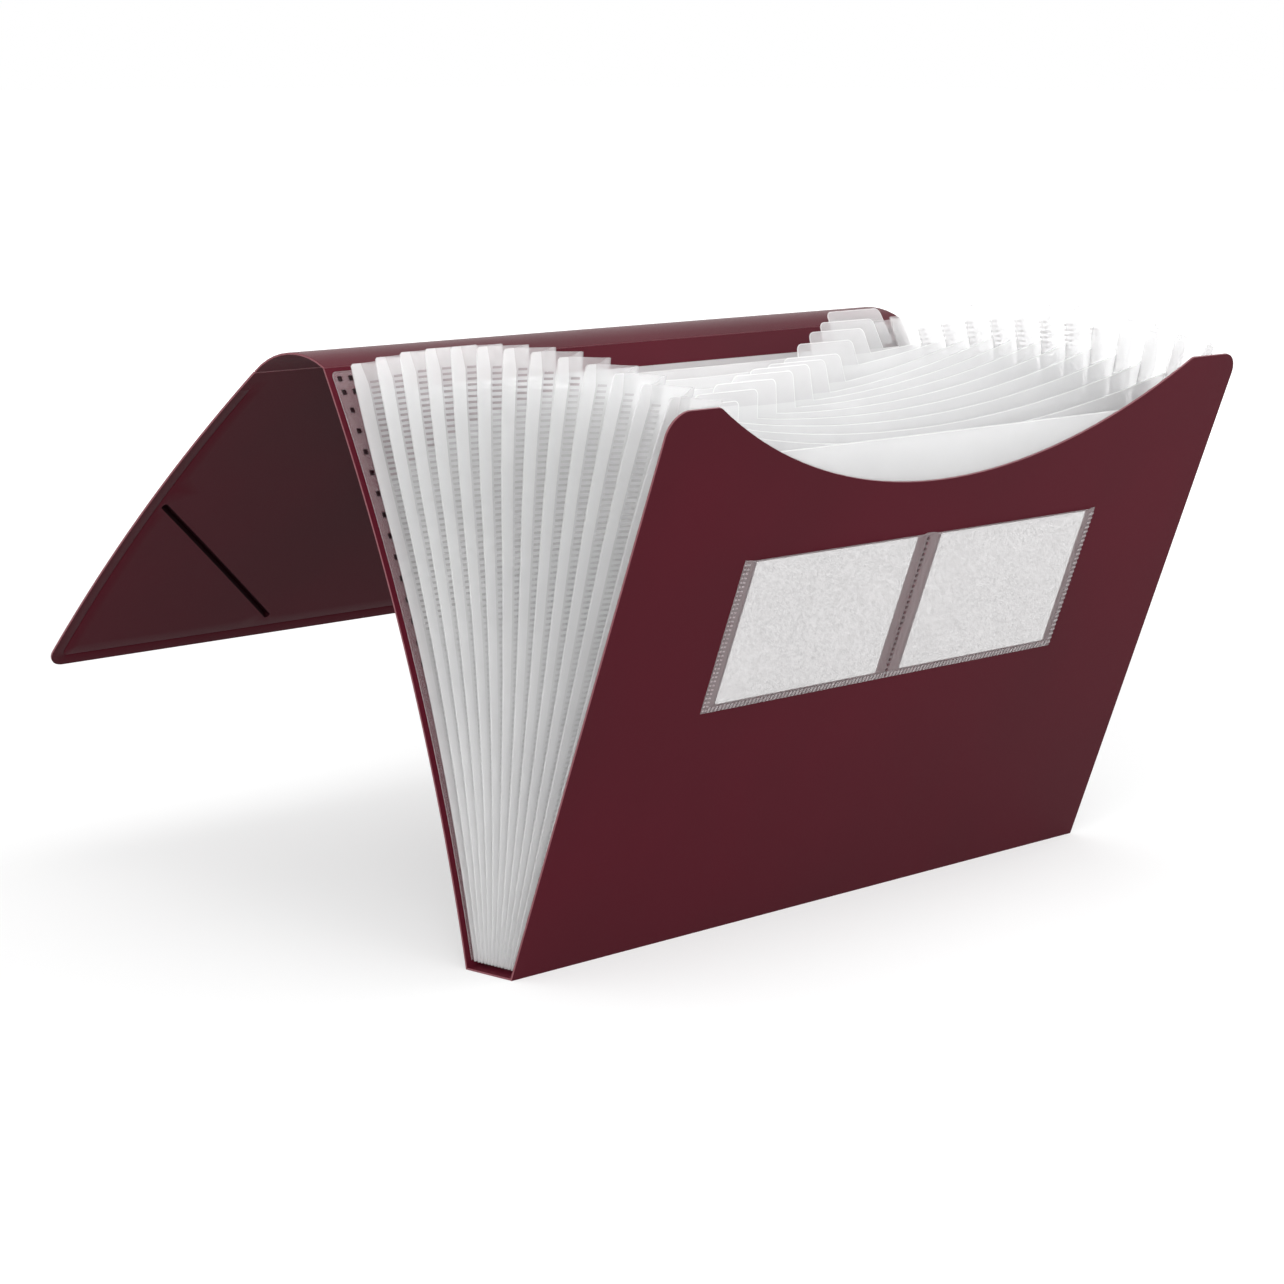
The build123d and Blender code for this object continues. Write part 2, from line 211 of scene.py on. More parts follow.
# Runs along curved edges, and lines across the flap where it bends
NOTCH_POINTS = 40
DIVIDER_POINTS = 36
SLIT_END_POINTS = 8
CREASE_LINES = 5

# Mesh of a pleat's layer, whose rows crowd towards the top
WEB_COLUMNS = 5
FIN_COLUMNS = 6
PLEAT_ROWS = 22
ROW_POWER = 0.8

# Radius of a divider's side corners, room beside a tab's foot, and passes that find that foot
DIVIDER_CORNER = 1.5 * MM
TAB_MARGIN = 3 * MM
TAB_PASSES = 12

# Back sheet's tab: from the crease down to where it bends, and the gap under the tip
TAB_BEND_DROP = 0.2 * MM
TAB_GAP = 0.05 * MM

# Rings of a spot weld, as (inset from its side, rise over its rim), and how deep the rim sits in the film
WELD_RINGS = ((0.0, 0.0), (0.18 * MM, 0.22 * MM), (0.54 * MM, 0.1 * MM))
WELD_SINK = 0.02 * MM

# Weld cluster: its rows, its columns, and its inward shift as a share of its pitch
CLUSTER_ROWS = (0, 1)
CLUSTER_COLUMNS = (-0.5, 0.5)
CLUSTER_SHIFT = 0.3

# Label film: flat stretch at each weld, the slope beside it, the gap under a weld, and steps of the mesh
SIDE_HOLD = 1.5 * MM
MIDDLE_HOLD = 1.2 * MM
BOTTOM_HOLD = 0.8 * MM
HOLD_SLOPE = 3.2 * MM
HOLD_GAP = 0.05 * MM
SLOPE_STEP_ACROSS = 1.1 * MM
SLOPE_STEP_UP = 0.9 * MM
LONGEST_SLOPE = 4 * MM
LABEL_STEP = 9 * MM

# Stitches of the label pocket's welds, with the run's start and end and its inset from the pocket's side
Hatch = namedtuple("Hatch", "wide tall pitch start end inset")
LEFT_HATCH = Hatch(0.9 * MM, 0.6 * MM, 1.7 * MM, 1.2 * MM, 1.0 * MM, 0.8 * MM)
MIDDLE_HATCH = Hatch(1.2 * MM, 1.1 * MM, 2.2 * MM, 1.2 * MM, 1.0 * MM, 0.0)
RIGHT_HATCH = Hatch(2.6 * MM, 0.7 * MM, 1.95 * MM, 1.6 * MM, 1.0 * MM, 1.2 * MM)
BOTTOM_HATCH = Hatch(0.9 * MM, 2.3 * MM, 2.0 * MM, 3.6 * MM, 3.0 * MM, 1.4 * MM)
LEFT_ROW_STEP = 1.5 * MM
HATCH_LIFT = 0.08 * MM

# Corner radius and edge rounding of the label cards
CARD_CORNER = 0.4 * MM
CARD_ROUNDING = 0.06 * MM

# Corners of a square about its middle
SQUARE = ((-1, -1), (1, -1), (1, 1), (-1, 1))

# Places of the films in the list that film_materials gives
# EDGE_HIGHLIGHT is a painted highlight along the film's cut edges; the tab film is painted shade on the index tabs.
FREE, EDGE_HIGHLIGHT, FIN, STITCH, PALE_STITCH, PLEAT, RESTING, SHADED_TAB, FAINT_STITCH = range(9)

# Heights between which the pleats' film turns clearer
HAZE_FOOT = 60 * MM
HAZE_TOP = 195 * MM

# Square lamps, and the point that they face
Lamp = namedtuple("Lamp", "name place size power")
LAMPS = (
    Lamp("top_light", (-0.3, -0.5, 2.0), 1.6, 14.0),
    Lamp("left_light", (-1.7, -1.0, 0.8), 1.4, 44.0),
    Lamp("right_light", (1.8, -0.3, 1.2), 1.4, 13.0),
    Lamp("back_light", (1.2, 1.5, 0.9), 1.4, 8.0),
    Lamp("low_light", (0.6, -0.65, 0.12), 0.5, 2.8),
)
LAMP_AIM = (0, 0.05, 0.11)


def length(name, description, default):
    """A length that the sidebar shows in the scene's unit."""
    return FloatProperty(name=name, description=description, default=default, unit="LENGTH", precision=5)


def colour(name, description, default):
    """A linear colour that the sidebar shows as a swatch."""
    return FloatVectorProperty(
        name=name, description=description, default=default, subtype="COLOR", size=3, min=0.0, max=1.0
    )


def share(name, description, default):
    """A number between nothing and all."""
    return FloatProperty(
        name=name, description=description, default=default, subtype="FACTOR", min=0.0, max=1.0
    )


def tilt(name, description, degrees):
    """An angle, given in degrees."""
    return FloatProperty(name=name, description=description, default=radians(degrees), subtype="ANGLE")


def tally(name, description, default):
    """A number of like things."""
    return IntProperty(name=name, description=description, default=default)


class CoverSettings(bpy.types.PropertyGroup):
    """Sizes and finish of the creased cover."""

    thickness: length("Thickness", "Thickness of the cover's sheet", 0.8 * MM)
    crease_gap: length("Crease gap", "Room left between two panels at a crease", 0.05 * MM)
    crease_bend: length("Crease bend", "Length of the flap that bends at its crease", 5 * MM)
    edge_round: length("Edge rounding", "Rounding of the sheet's cut edges", 0.22 * MM)
    front_height: length("Front height", "Height of the front panel along its slope", 220 * MM)
    corner_radius: length("Corner radius", "Radius of the cover's free corners", 9 * MM)
    left_horn: length("Left horn", "Top edge left of the thumb notch", 24 * MM)
    right_horn: length("Right horn", "Top edge right of the thumb notch", 31 * MM)
    notch_depth: length("Notch depth", "Depth of the thumb notch", 39.5 * MM)
    notch_corner: length("Notch corner", "Radius where the notch meets the top edge", 4 * MM)
    back_bow: length("Back bow", "How far the back panel bows towards the pockets", 7.5 * MM)
    top_bow: length("Top spine bow", "Rise of the arched top spine", 6 * MM)
    flap_bow: length("Flap bow", "How far the flap bows", 4.5 * MM)
    flap_length: length("Flap length", "Length of the flap from its crease", 182.2 * MM)
    flap_lean: tilt("Flap lean", "Lean of the flap from upright", 133.6)
    slit_width: length("Slit width", "Width of the flap's corner slits", 3.2 * MM)
    slit_outer_inset: length("Slit outer inset", "From the side edge to a slit's outer end", 8 * MM)
    slit_outer_drop: length("Slit outer drop", "From the crease to a slit's outer end", 85 * MM)
    slit_inner_inset: length("Slit inner inset", "From the side edge to a slit's inner end", 111 * MM)
    slit_inner_drop: length("Slit inner drop", "From the crease to a slit's inner end", 171 * MM)
    lip_depth: length("Lip depth", "How far the lips of a slit curl in", 2.4 * MM)
    lip_gap: length("Lip gap", "Gap left between the curled lips", 0.3 * MM)
    border_inset: length("Border inset", "From the flap's edge to its pressed border line", 5.5 * MM)
    border_width: length("Border width", "Width of the pressed border line", 1.2 * MM)
    border_depth: length("Border depth", "Depth of the pressed border line", 0.3 * MM)
    colour: colour("Colour", "Colour of the sheet", (0.070, 0.0060, 0.0130))
    dull_colour: colour("Dull colour", "Colour where the sheet looks dull", (0.060, 0.0066, 0.0122))
    # The edge colour is a painted highlight: paler where light catches the cut edges.
    edge_colour: colour("Edge colour", "Colour of the sheet's cut edges", (0.17, 0.046, 0.058))


class InsertSettings(bpy.types.PropertyGroup):
    """Sizes and finish of the film pockets."""

    film: length("Film", "Thickness of the film", 0.3 * MM)
    panel_offset: length("Panel offset", "From a panel's middle to the end sheet on it", 0.675 * MM)
    end_lift: length("End lift", "How far the dividers' folds stand above the creases", 1.45 * MM)
    divider_inset: length("Divider inset", "From the cover's side to a divider's side", 23 * MM)
    divider_drop: length("Divider drop", "From the back panel's top to a divider's side corner", 15.1 * MM)
    flange_inset: length("Flange inset", "From the cover's side to the end sheets' flanges", 2.5 * MM)
    flange_corner: length("Flange corner", "Radius of the flanges' corners", 2 * MM)
    end_sheet_start: length("End sheet start", "Lower edge of the end sheets", 2.5 * MM)
    back_sheet_drop: length("Back sheet drop", "From the back panel's top to the back sheet", 10.6 * MM)
    ear_width: length("Ear width", "Width of the back sheet's ears", 15 * MM)
    ear_drop: length("Ear drop", "From the back panel's top to the back sheet's ears", 2.1 * MM)
    front_sheet_drop: length("Front sheet drop", "From the front panel's top to the front sheet", 20 * MM)
    tabbed_sheets: tally("Tabbed sheets", "Sheets with an index tab", 11)
    tab_width: length("Tab width", "Width of an index tab's top", 34 * MM)
    tab_rise: length("Tab rise", "Height of an index tab", 14 * MM)
    tab_slant: length("Tab slant", "How far a tab's sides slant", 1.5 * MM)
    tab_corner: length("Tab corner", "Radius of a tab's corners", 3 * MM)
    tab_bend: length("Tab bend", "Length of the back sheet's tab that bends under the spine", 11 * MM)
    tab_pitch: length("Tab pitch", "Step from one tab to the next", 23.7 * MM)
    first_tab: length("First tab", "From the cover's right side to the back sheet's tab", 13 * MM)
    back_tab_top: length("Back tab top", "Height of the back sheet's tab", 228.3 * MM)
    second_tab_top: length("Second tab top", "Height of the first divider's tab", 220.5 * MM)
    tab_step: length("Tab step", "Step down from one tab to the next", 5 * MM)
    lowest_tab: length("Lowest tab", "Height of the lowest tabs", 204.5 * MM)
    colour: colour("Film colour", "Colour of the frosted film", (0.915, 0.915, 0.92))
    haze: share("Haze", "How much a face of a free sheet hides", 0.34)
    resting_haze: share("Resting haze", "How much a face of the film on the back panel hides", 0.10)
    pleat_haze: share("Pleat haze", "How much a face of a pleat hides at its foot", 0.36)
    pleat_top_haze: share("Pleat top haze", "How much a face of a pleat hides at its top", 0.17)
    fin_haze: share("Fin haze", "How much a face of a pleat's doubled fin hides at its foot", 0.36)
    fin_top_haze: share("Fin top haze", "How much a face of a pleat's doubled fin hides at its top", 0.27)
    tab_haze: share("Tab haze", "How much a face of an index tab hides", 0.36)
    # The tab colour is painted shade: darker to take back the light that the tabs catch from above.
    tab_colour: colour("Tab colour", "Colour of the index tabs", (0.74, 0.735, 0.74))
    # This strip is a painted highlight along the film's cut edges.
    highlight_strip: length("Edge strip", "Width of the bright strip along a sheet's cut edge", 0.35 * MM)
    scatter: length("Scatter", "How far light travels inside the film", 1.0 * MM)
    # The pink of this colour is painted light: it stands in for red light bounced from the panel through the film.
    resting_colour: colour("Resting colour", "Colour of the film on the back panel", (0.86, 0.72, 0.745))


class PleatSettings(bpy.types.PropertyGroup):
    """Sizes of the side pleats and their welded seams."""

    start: length("Start", "Lower end of the pleats", 0.8 * MM)
    drop: length("Drop", "From the back panel's top to the pleats' tops", 2.1 * MM)
    ridge_inset: length("Ridge inset", "From the cover's side to the tops of the pleats' ridges", 6.5 * MM)
    ridge_low_inset: length("Ridge low inset", "From the cover's side to the ridges lower down", 3.0 * MM)
    ridge_taper: length("Ridge taper", "Height over which the ridges draw in to their tops", 60 * MM)
    fin_width: length("Fin width", "Width of a pleat's doubled fin below its top", 6.5 * MM)
    fin_low_width: length("Fin low width", "Width of the fin at its foot", 1.0 * MM)
    fin_top_width: length("Fin top width", "Width of the fin at its top, where the layers part", 4.6 * MM)
    lap: length("Lap", "How far a pleat laps over a divider's side", 2 * MM)
    layer_gap: length("Layer gap", "Gap between the layers of a fin", 0.35 * MM)
    corner: length("Fin corner", "Radius of a fin's upper corner", 0.8 * MM)
    seam_start: length("Seam start", "From a pleat's top to its first stitch", 7 * MM)
    seam_end: length("Seam end", "Height of a seam's last stitch", 11 * MM)
    stitch_pitch: length("Stitch pitch", "Step from one stitch of the seam to the next", 2.05 * MM)
    stitch_height: length("Stitch height", "Height of one stitch", 0.85 * MM)
    stitch_lift: length("Stitch lift", "How far a stitch stands proud", 0.16 * MM)
    seam_from: share("Seam from", "Where the seam starts, as a share of the film beside the fin", 0.05)
    seam_to: share("Seam to", "Where the seam ends, as a share of the film beside the fin", 0.30)
    clear_stitches: tally("Clear stitches", "Clear stitches at the top of the rearmost pleat", 18)
    grey_stitches: tally("Grey stitches", "Clear and grey stitches at the top of the rearmost pleat", 46)
    stitch_step: tally("Stitch step", "How many fewer of these the next pleat has", 2)
    film_share: share("Film share", "Thickness of a pleat's layer, as a share of the film", 0.6)
    closed_share: share("Closed share", "Depth of a pleat that is left when the file closes", 0.1)


class WeldSettings(bpy.types.PropertyGroup):
    """Sizes of the spot welds on the back flange."""

    size: length("Size", "Side of a square weld", 1.98 * MM)
    inset: length("Inset", "From the flange's side to the weld column", 4.0 * MM)
    pitch: length("Pitch", "Step from one weld to the next", 8 * MM)
    start: length("Start", "Height of the lowest weld", 12 * MM)
    slack: length("Slack", "How far the weld column may pass its end to fit a last weld", 1 * MM)
    cluster_drop: length("Cluster drop", "From the ear's top to the weld cluster", 8 * MM)
    cluster_pitch: length("Cluster pitch", "Step within the weld cluster", 5.2 * MM)


class LabelSettings(bpy.types.PropertyGroup):
    """Sizes and finish of the label pocket and its cards."""

    centre: length("Centre", "Middle of the pocket across the front panel", -2.2 * MM)
    bottom: length("Bottom", "Lower edge of the pocket on the front panel", 98 * MM)
    side_weld: length("Side weld", "Welded margin at each side", 6 * MM)
    bottom_weld: length("Bottom weld", "Welded margin at the bottom", 3 * MM)
    middle_weld: length("Middle weld", "Welded margin between the cells", 13.6 * MM)
    film: length("Film", "Thickness of the pocket's film", 0.2 * MM)
    standoff: length("Standoff", "Room between the panel's face and the film", 0.9 * MM)
    card_width: length("Card width", "Width of a label card", 89 * MM)
    card_height: length("Card height", "Height of a label card", 56.5 * MM)
    card_thickness: length("Card thickness", "Thickness of a label card", 0.3 * MM)
    card_clearance: length("Card clearance", "Room round a card in its cell", 0.3 * MM)
    top_inset: length("Top inset", "From a card's top to the film's edge", 1 * MM)
    haze: share("Haze", "How much a face of the pocket's film hides", 0.15)
    colour: colour("Film colour", "Colour of the pocket's film", (0.78, 0.75, 0.755))
    card_colour: colour("Card colour", "Colour of the cards", (0.75, 0.75, 0.75))


class StageSettings(bpy.types.PropertyGroup):
    """Camera, floor and light."""

    camera_place: FloatVectorProperty(
        name="Camera place", description="Where the camera stands", default=(-1.00626, -0.86674, 0.32042),
        subtype="TRANSLATION",
    )
    camera_heading: tilt("Heading", "Camera's turn from +Y to +X", 46.731)
    camera_pitch: tilt("Pitch", "Camera's tilt below the horizon", 9.43)
    camera_lens: FloatProperty(
        name="Lens", description="Focal length in millimetres", default=98.13, unit="CAMERA"
    )
    floor_size: length("Floor size", "Side of the floor", 60.0)
    floor_colour: colour("Floor colour", "Colour of the floor", (0.42, 0.42, 0.42))
    glow_near: length("Glow near", "Distance from the middle at which the floor starts to turn white", 0.5)
    glow_far: length("Glow far", "Distance from the middle at which the floor is white", 1.8)
    glow_low: share("Glow low", "How bright the floor is by itself near the file", 0.47)
    sky_strength: FloatProperty(name="Sky", description="Strength of the even light", default=0.69)


def setting(group):
    """One of the file's setting groups."""
    return getattr(bpy.context.scene, "accordion_" + group)


Sheet = namedtuple("Sheet", "fold up out chord bow lift", defaults=(0.0, 0.0))


def lean_sheet(fold, lean, chord, bow=0.0):
    """A sheet that stands on a fold line with a lean to the back, bowed to the front over its chord."""
    up = Vector((0, sin(lean), cos(lean)))
    out = Vector((0, -cos(lean), sin(lean)))
    return Sheet(Vector(fold), up, out, chord, bow)


def joint_place(joint):
    """Point of a joint's axis on the middle plane."""
    return Vector(JOINTS[joint]["pos_m"])


def joint_lean(joint):
    """Lean of the sheet on a joint, which closing turns upright."""
    return JOINTS[joint]["axis"][0] * RATIOS.get(joint, 1.0) * CLOSING_TURN


def bow_at(height, chord, bow):
    """Distance of an arc from its chord."""
    if bow == 0:
        return 0.0
    radius = (chord**2 / 4 + bow**2) / (2 * bow)
    return sqrt(radius**2 - (height - chord / 2) ** 2) - radius + bow


def place(sheet, x, height, rise=0.0):
    """Point on a sheet, or at a rise in front of it."""
    along = height + sheet.lift
    out = bow_at(along, sheet.chord, sheet.bow) + rise
    return sheet.fold + Vector((x, 0, 0)) + sheet.up * along + sheet.out * out


def front_sheet():
    """Middle surface of the front panel."""
    return lean_sheet(joint_place("front_fold"), joint_lean("front_fold"), setting("cover").front_height)


def back_sheet():
    """Middle surface of the back panel."""
    fold = joint_place("back_fold")
    chord = (joint_place("top_fold") - fold).length
    return lean_sheet(fold, joint_lean("back_fold"), chord, setting("cover").back_bow)


def top_sheet():
    """Middle surface of the top spine."""
    run = joint_place("flap_fold") - joint_place("top_fold")
    return lean_sheet(joint_place("top_fold"), atan2(run.y, run.z), run.length, setting("cover").top_bow)


def flap_sheet():
    """Middle surface of the flap."""
    cover = setting("cover")
    return lean_sheet(joint_place("flap_fold"), cover.flap_lean, cover.flap_length, cover.flap_bow)


def film_sheet(number):
    """Middle surface of a sheet of the insert, counted from the back sheet to the front one."""
    insert = setting("insert")
    back = back_sheet()
    if number == 0:
        return back._replace(fold=back.fold + back.out * insert.panel_offset, lift=insert.end_lift)
    if number == POCKETS:
        front = front_sheet()
        return front._replace(fold=front.fold - front.out * insert.panel_offset, lift=insert.end_lift)
    joint = f"divider_{number}_fold"
    bow = back.bow * (1 - number / POCKETS)
    return lean_sheet(joint_place(joint), joint_lean(joint), back.chord, bow)


def film_body(number):
    """Body that carries a sheet of the insert."""
    return {0: "back_panel", POCKETS: "front_panel"}.get(number, f"divider_{number}")


def eased(part):
    """A share that starts and ends softly."""
    return part * part * (3 - 2 * part)


def rounded_corner(before, corner, after, radius):
    """Points of an arc that rounds a corner of an outline."""
    first = (before - corner).normalized()
    second = (after - corner).normalized()
    angle = acos(max(-1.0, min(1.0, first.dot(second))))
    reach = radius / tan(angle / 2)
    middle = corner + (first + second).normalized() * (radius / sin(angle / 2))
    start = corner + first * reach - middle
    end = corner + second * reach - middle
    turn = atan2(start.cross(end), start.dot(end))
    count = max(3, ceil(abs(turn) * radius / ARC_STEP))
    points = []
    for index in range(count + 1):
        part = turn * index / count
        points.append(middle + Vector((start.x * cos(part) - start.y * sin(part),
                                       start.x * sin(part) + start.y * cos(part))))
    return points


def oblong(half, low, high, top_radius=0.0, low_radius=0.0, middle=0.0):
    """Corners of an oblong about a middle line."""
    return [
        (middle - half, low, low_radius), (middle + half, low, low_radius),
        (middle + half, high, top_radius), (middle - half, high, top_radius),
    ]


def outline(corners, step):
    """Closed outline through corners (x, y, radius), with points no further apart than a step."""
    places = [Vector(corner[:2]) for corner in corners]
    path = []
    for index, (here, corner) in enumerate(zip(places, corners)):
        radius = corner[2]
        if radius > 0:
            path += rounded_corner(places[index - 1], here, places[(index + 1) % len(places)], radius)
        else:
            path.append(here)
    return divided(path + path[:1], step)[:-1]


def divided(path, step):
    """A path with its long runs divided."""
    points = [path[0]]
    for start, end in zip(path, path[1:]):
        count = max(1, ceil((end - start).length / step))
        points += [start.lerp(end, index / count) for index in range(1, count + 1)]
    return points


def inside(point, loop):
    """Whether a point lies in a closed loop."""
    crossings = 0
    for start, end in zip(loop, loop[1:] + loop[:1]):
        if (start.y > point.y) != (end.y > point.y):
            if point.x < start.x + (point.y - start.y) * (end.x - start.x) / (end.y - start.y):
                crossings += 1
    return crossings % 2 == 1


def cut_flat(loop, holes, lines, step):
    """Points and triangles of a flat sheet cut to a loop, with holes and with edges along lines."""
    points = list(loop)
    edges = [(index, (index + 1) % len(loop)) for index in range(len(loop))]
    for hole in holes:
        first = len(points)
        points += hole
        edges += [(first + index, first + (index + 1) % len(hole)) for index in range(len(hole))]
    for line in lines:
        first = len(points)
        points += line
        edges += [(first + index, first + index + 1) for index in range(len(line) - 1)]
    fixed = list(points)
    low = Vector((min(p.x for p in loop), min(p.y for p in loop)))
    high = Vector((max(p.x for p in loop), max(p.y for p in loop)))
    columns = ceil((high.x - low.x) / step)
    rows = ceil((high.y - low.y) / step)
    for column in range(1, columns):
        for row in range(1, rows):
            x = low.x + (high.x - low.x) * column / columns
            y = low.y + (high.y - low.y) * row / rows
            point = Vector((x, y))
            if inside(point, loop) and all((point - other).length > POINT_ROOM * step for other in fixed):
                points.append(point)
    found, _, faces, _, _, _ = delaunay_2d_cdt(points, edges, [], 0, SAME_POINT)
    kept = []
    for face in faces:
        first, second, third = (found[index] for index in face)
        middle = (first + second + third) / 3
        longest = max((second - first).length, (third - second).length, (first - third).length)
        if abs((second - first).cross(third - first)) < longest * SLIVER:
            continue
        if inside(middle, loop) and not any(inside(middle, hole) for hole in holes):
            kept.append(face)
    return found, kept


def grid_faces(rows, columns):
    """Quads between the points of a grid, row by row."""
    across = columns + 1
    faces = []
    for row in range(rows):
        for column in range(columns):
            first = row * across + column
            faces.append((first, first + 1, first + across + 1, first + across))
    return faces


def mesh_of(name, points, faces, marks=None):
    """A smooth mesh with sharp borders, where marks gives the material of each face."""
    mesh = bpy.data.meshes.new(name)
    mesh.from_pydata(points, [], faces)
    shape = bmesh.new()
    shape.from_mesh(mesh)
    if marks:
        for face, mark in zip(shape.faces, marks):
            face.material_index = mark
    bmesh.ops.delete(shape, geom=[vert for vert in shape.verts if not vert.link_faces], context="VERTS")
    for face in shape.faces:
        face.smooth = True
    for edge in shape.edges:
        edge.smooth = not edge.is_boundary
    shape.to_mesh(mesh)
    shape.free()
    return mesh


def add_piece(name, mesh, materials, body, slot, nodes=(), bend=None):
    """Puts a piece in place of solids on a body, or bent from that body to a second one."""
    piece = bpy.data.objects.new(name, mesh)
    bpy.context.scene.collection.objects.link(piece)
    for material in materials:
        mesh.materials.append(material)
    if bend:
        second, start, end = bend
        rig.blend(piece, body, second, start, end)
    else:
        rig.ride(piece, body)
    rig.slot(piece, slot)
    if nodes:
        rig.replaces(piece, *nodes)
    return piece


def thicken(piece, thickness, rim_offset=0):
    """Gives a surface its thickness, half to each side, with a rim that many materials further on."""
    skin = piece.modifiers.new("thickness", "SOLIDIFY")
    skin.thickness = thickness
    skin.offset = 0.0
    skin.material_offset_rim = rim_offset
    return piece


def round_edges(piece, width):
    """Rounds the cut edges of a thick sheet."""
    rounding = piece.modifiers.new("rounding", "BEVEL")
    rounding.width = width
    rounding.segments = ROUNDING_SEGMENTS
    rounding.limit_method = "ANGLE"
    rounding.angle_limit = SHARP_ANGLE
    rounding.harden_normals = True
    return piece


def flatten_when_closed(piece, sheet):
    """Straightens a bowed piece as the file closes."""
    keep = setting("pleat").closed_share
    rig.squash(piece, "front_fold", axis=sheet.out, anchor=sheet.fold, keep=keep)
    return piece


def laid(name, sheet, corners, steps, holes=(), lines=(), rise=None, mark=None):
    """Mesh of a sheet cut to corners and laid on its arc, with a relief and marked faces where given."""
    flat, faces = cut_flat(outline(corners, steps.edge), holes, lines, steps.field)
    points = [place(sheet, p.x, p.y, rise(p) if rise else 0.0) for p in flat]
    marks = None
    if mark:
        marks = [mark(sum((flat[index] for index in face), Vector((0, 0))) / 3) for face in faces]
    return mesh_of(name, points, faces, marks)


def inset_loop(loop, distance):
    """An anticlockwise loop moved inwards."""
    points = []
    for before, here, after in zip(loop[-1:] + loop[:-1], loop, loop[1:] + loop[:1]):
        along = (after - before).normalized()
        points.append(here + Vector((-along.y, along.x)) * distance)
    return points


def laid_with_strip(name, sheet, corners, steps, width, tab=None):
    """Mesh of a sheet laid on its arc, with a strip along its edge that takes a painted highlight and a tab that takes
    a painted shade, each with a film of its own.
    """
    ring = inset_loop(outline(corners, steps.edge), width)
    lines = [ring + ring[:1]]
    if tab:
        lines.append(divided(tab, steps.field))

    def mark(point):
        if not inside(point, ring):
            # Faces along the cut edge take the painted highlight.
            return EDGE_HIGHLIGHT
        return SHADED_TAB if tab and point.y > tab[0].y and tab[0].x < point.x < tab[1].x else FREE

    return laid(name, sheet, corners, steps, lines=lines, mark=mark)


# Materials


class Nodes:
    """A node tree, and what is often added to it."""

    def __init__(self, tree):
        self.tree = tree

    def add(self, kind, **values):
        """A new node, with values for its sockets or for its own settings."""
        made = self.tree.nodes.new("ShaderNode" + kind)
        for key, value in values.items():
            if key in made.inputs:
                made.inputs[key].default_value = value
            else:
                setattr(made, key, value)
        return made

    def link(self, output, socket):
        """Joins an output to a socket."""
        self.tree.links.new(output, socket)

    def ranged(self, value, to_low, to_high, from_low=0.0, from_high=1.0):
        """A value brought from one range to another."""
        scale = self.add("MapRange")
        limits = {"From Min": from_low, "From Max": from_high, "To Min": to_low, "To Max": to_high}
        for socket, limit in limits.items():
            scale.inputs[socket].default_value = limit
        self.link(value, scale.inputs["Value"])
        return scale.outputs["Result"]

    def background_rays(self):
        """Whether a ray shows the background: straight to the camera, through glass or in a gloss."""
        path = self.add("LightPath")
        seen = path.outputs["Is Camera Ray"]
        for ray in ("Is Transmission Ray", "Is Glossy Ray"):
            either = self.add("Math", operation="MAXIMUM")
            self.link(seen, either.inputs[0])
            self.link(path.outputs[ray], either.inputs[1])
            seen = either.outputs["Value"]
        return seen


class Finish(Nodes):
    """A new material, whose textures lie in the object's own frame."""

    def __init__(self, name):
        found = bpy.data.materials.get(name)
        if found:
            bpy.data.materials.remove(found)
        self.material = bpy.data.materials.new(name)
        self.material.use_nodes = True
        super().__init__(self.material.node_tree)
        self.shader = self.tree.nodes["Principled BSDF"]

    def put(self, socket, value):
        """One value all over, on the shader's own socket."""
        self.shader.inputs[socket].default_value = value

    def feed(self, socket, output):
        """A value that a texture gives."""
        self.link(output, self.shader.inputs[socket])

    def own_place(self):
        """Place in the object's own frame."""
        return self.add("TexCoord").outputs["Object"]

    def noise(self, scale, detail=2.0):
        """Noise in the object's own frame."""
        noise = self.add("TexNoise", Scale=scale, Detail=detail)
        self.link(self.own_place(), noise.inputs["Vector"])
        return noise.outputs["Fac"]

    def tones(self, noise, first, second, low=0.35, high=0.65):
        """Colour that goes from one tone to another with a noise."""
        ramp = self.add("ValToRGB")
        for element, position, tone in zip(ramp.color_ramp.elements, (low, high), (first, second)):
            element.position = position
            element.color = (*tone, 1.0)
        self.link(noise, ramp.inputs["Fac"])
        self.feed("Base Color", ramp.outputs["Color"])

    def relief(self, noise, strength, distance=0.05 * MM):
        """Relief of a noise on the shader's normal."""
        bump = self.add("Bump", Strength=strength, Distance=distance)
        self.link(noise, bump.inputs["Height"])
        self.feed("Normal", bump.outputs["Normal"])

    def by_height(self, foot, top):
        """A value that goes from the foot of the pockets to their top."""
        height = self.add("SeparateXYZ")
        self.link(self.own_place(), height.inputs["Vector"])
        return self.ranged(height.outputs["Z"], foot, top, HAZE_FOOT, HAZE_TOP)


def shaded(tone, part):
    """A darker tone of a colour."""
    return tuple(part * value for value in tone)


def cover_material():
    """Matte dark red sheet with a fine pressed grain and faint dull patches."""
    cover = setting("cover")
    finish = Finish("grained_sheet")
    patches = finish.noise(scale=9.0)
    grain = finish.noise(scale=1900.0, detail=3.0)
    finish.tones(patches, cover.colour, cover.dull_colour)
    finish.feed("Roughness", finish.ranged(grain, to_low=0.40, to_high=0.56))
    finish.relief(grain, strength=0.35, distance=0.06 * MM)
    finish.put("Specular IOR Level", 0.045)
    return finish.material


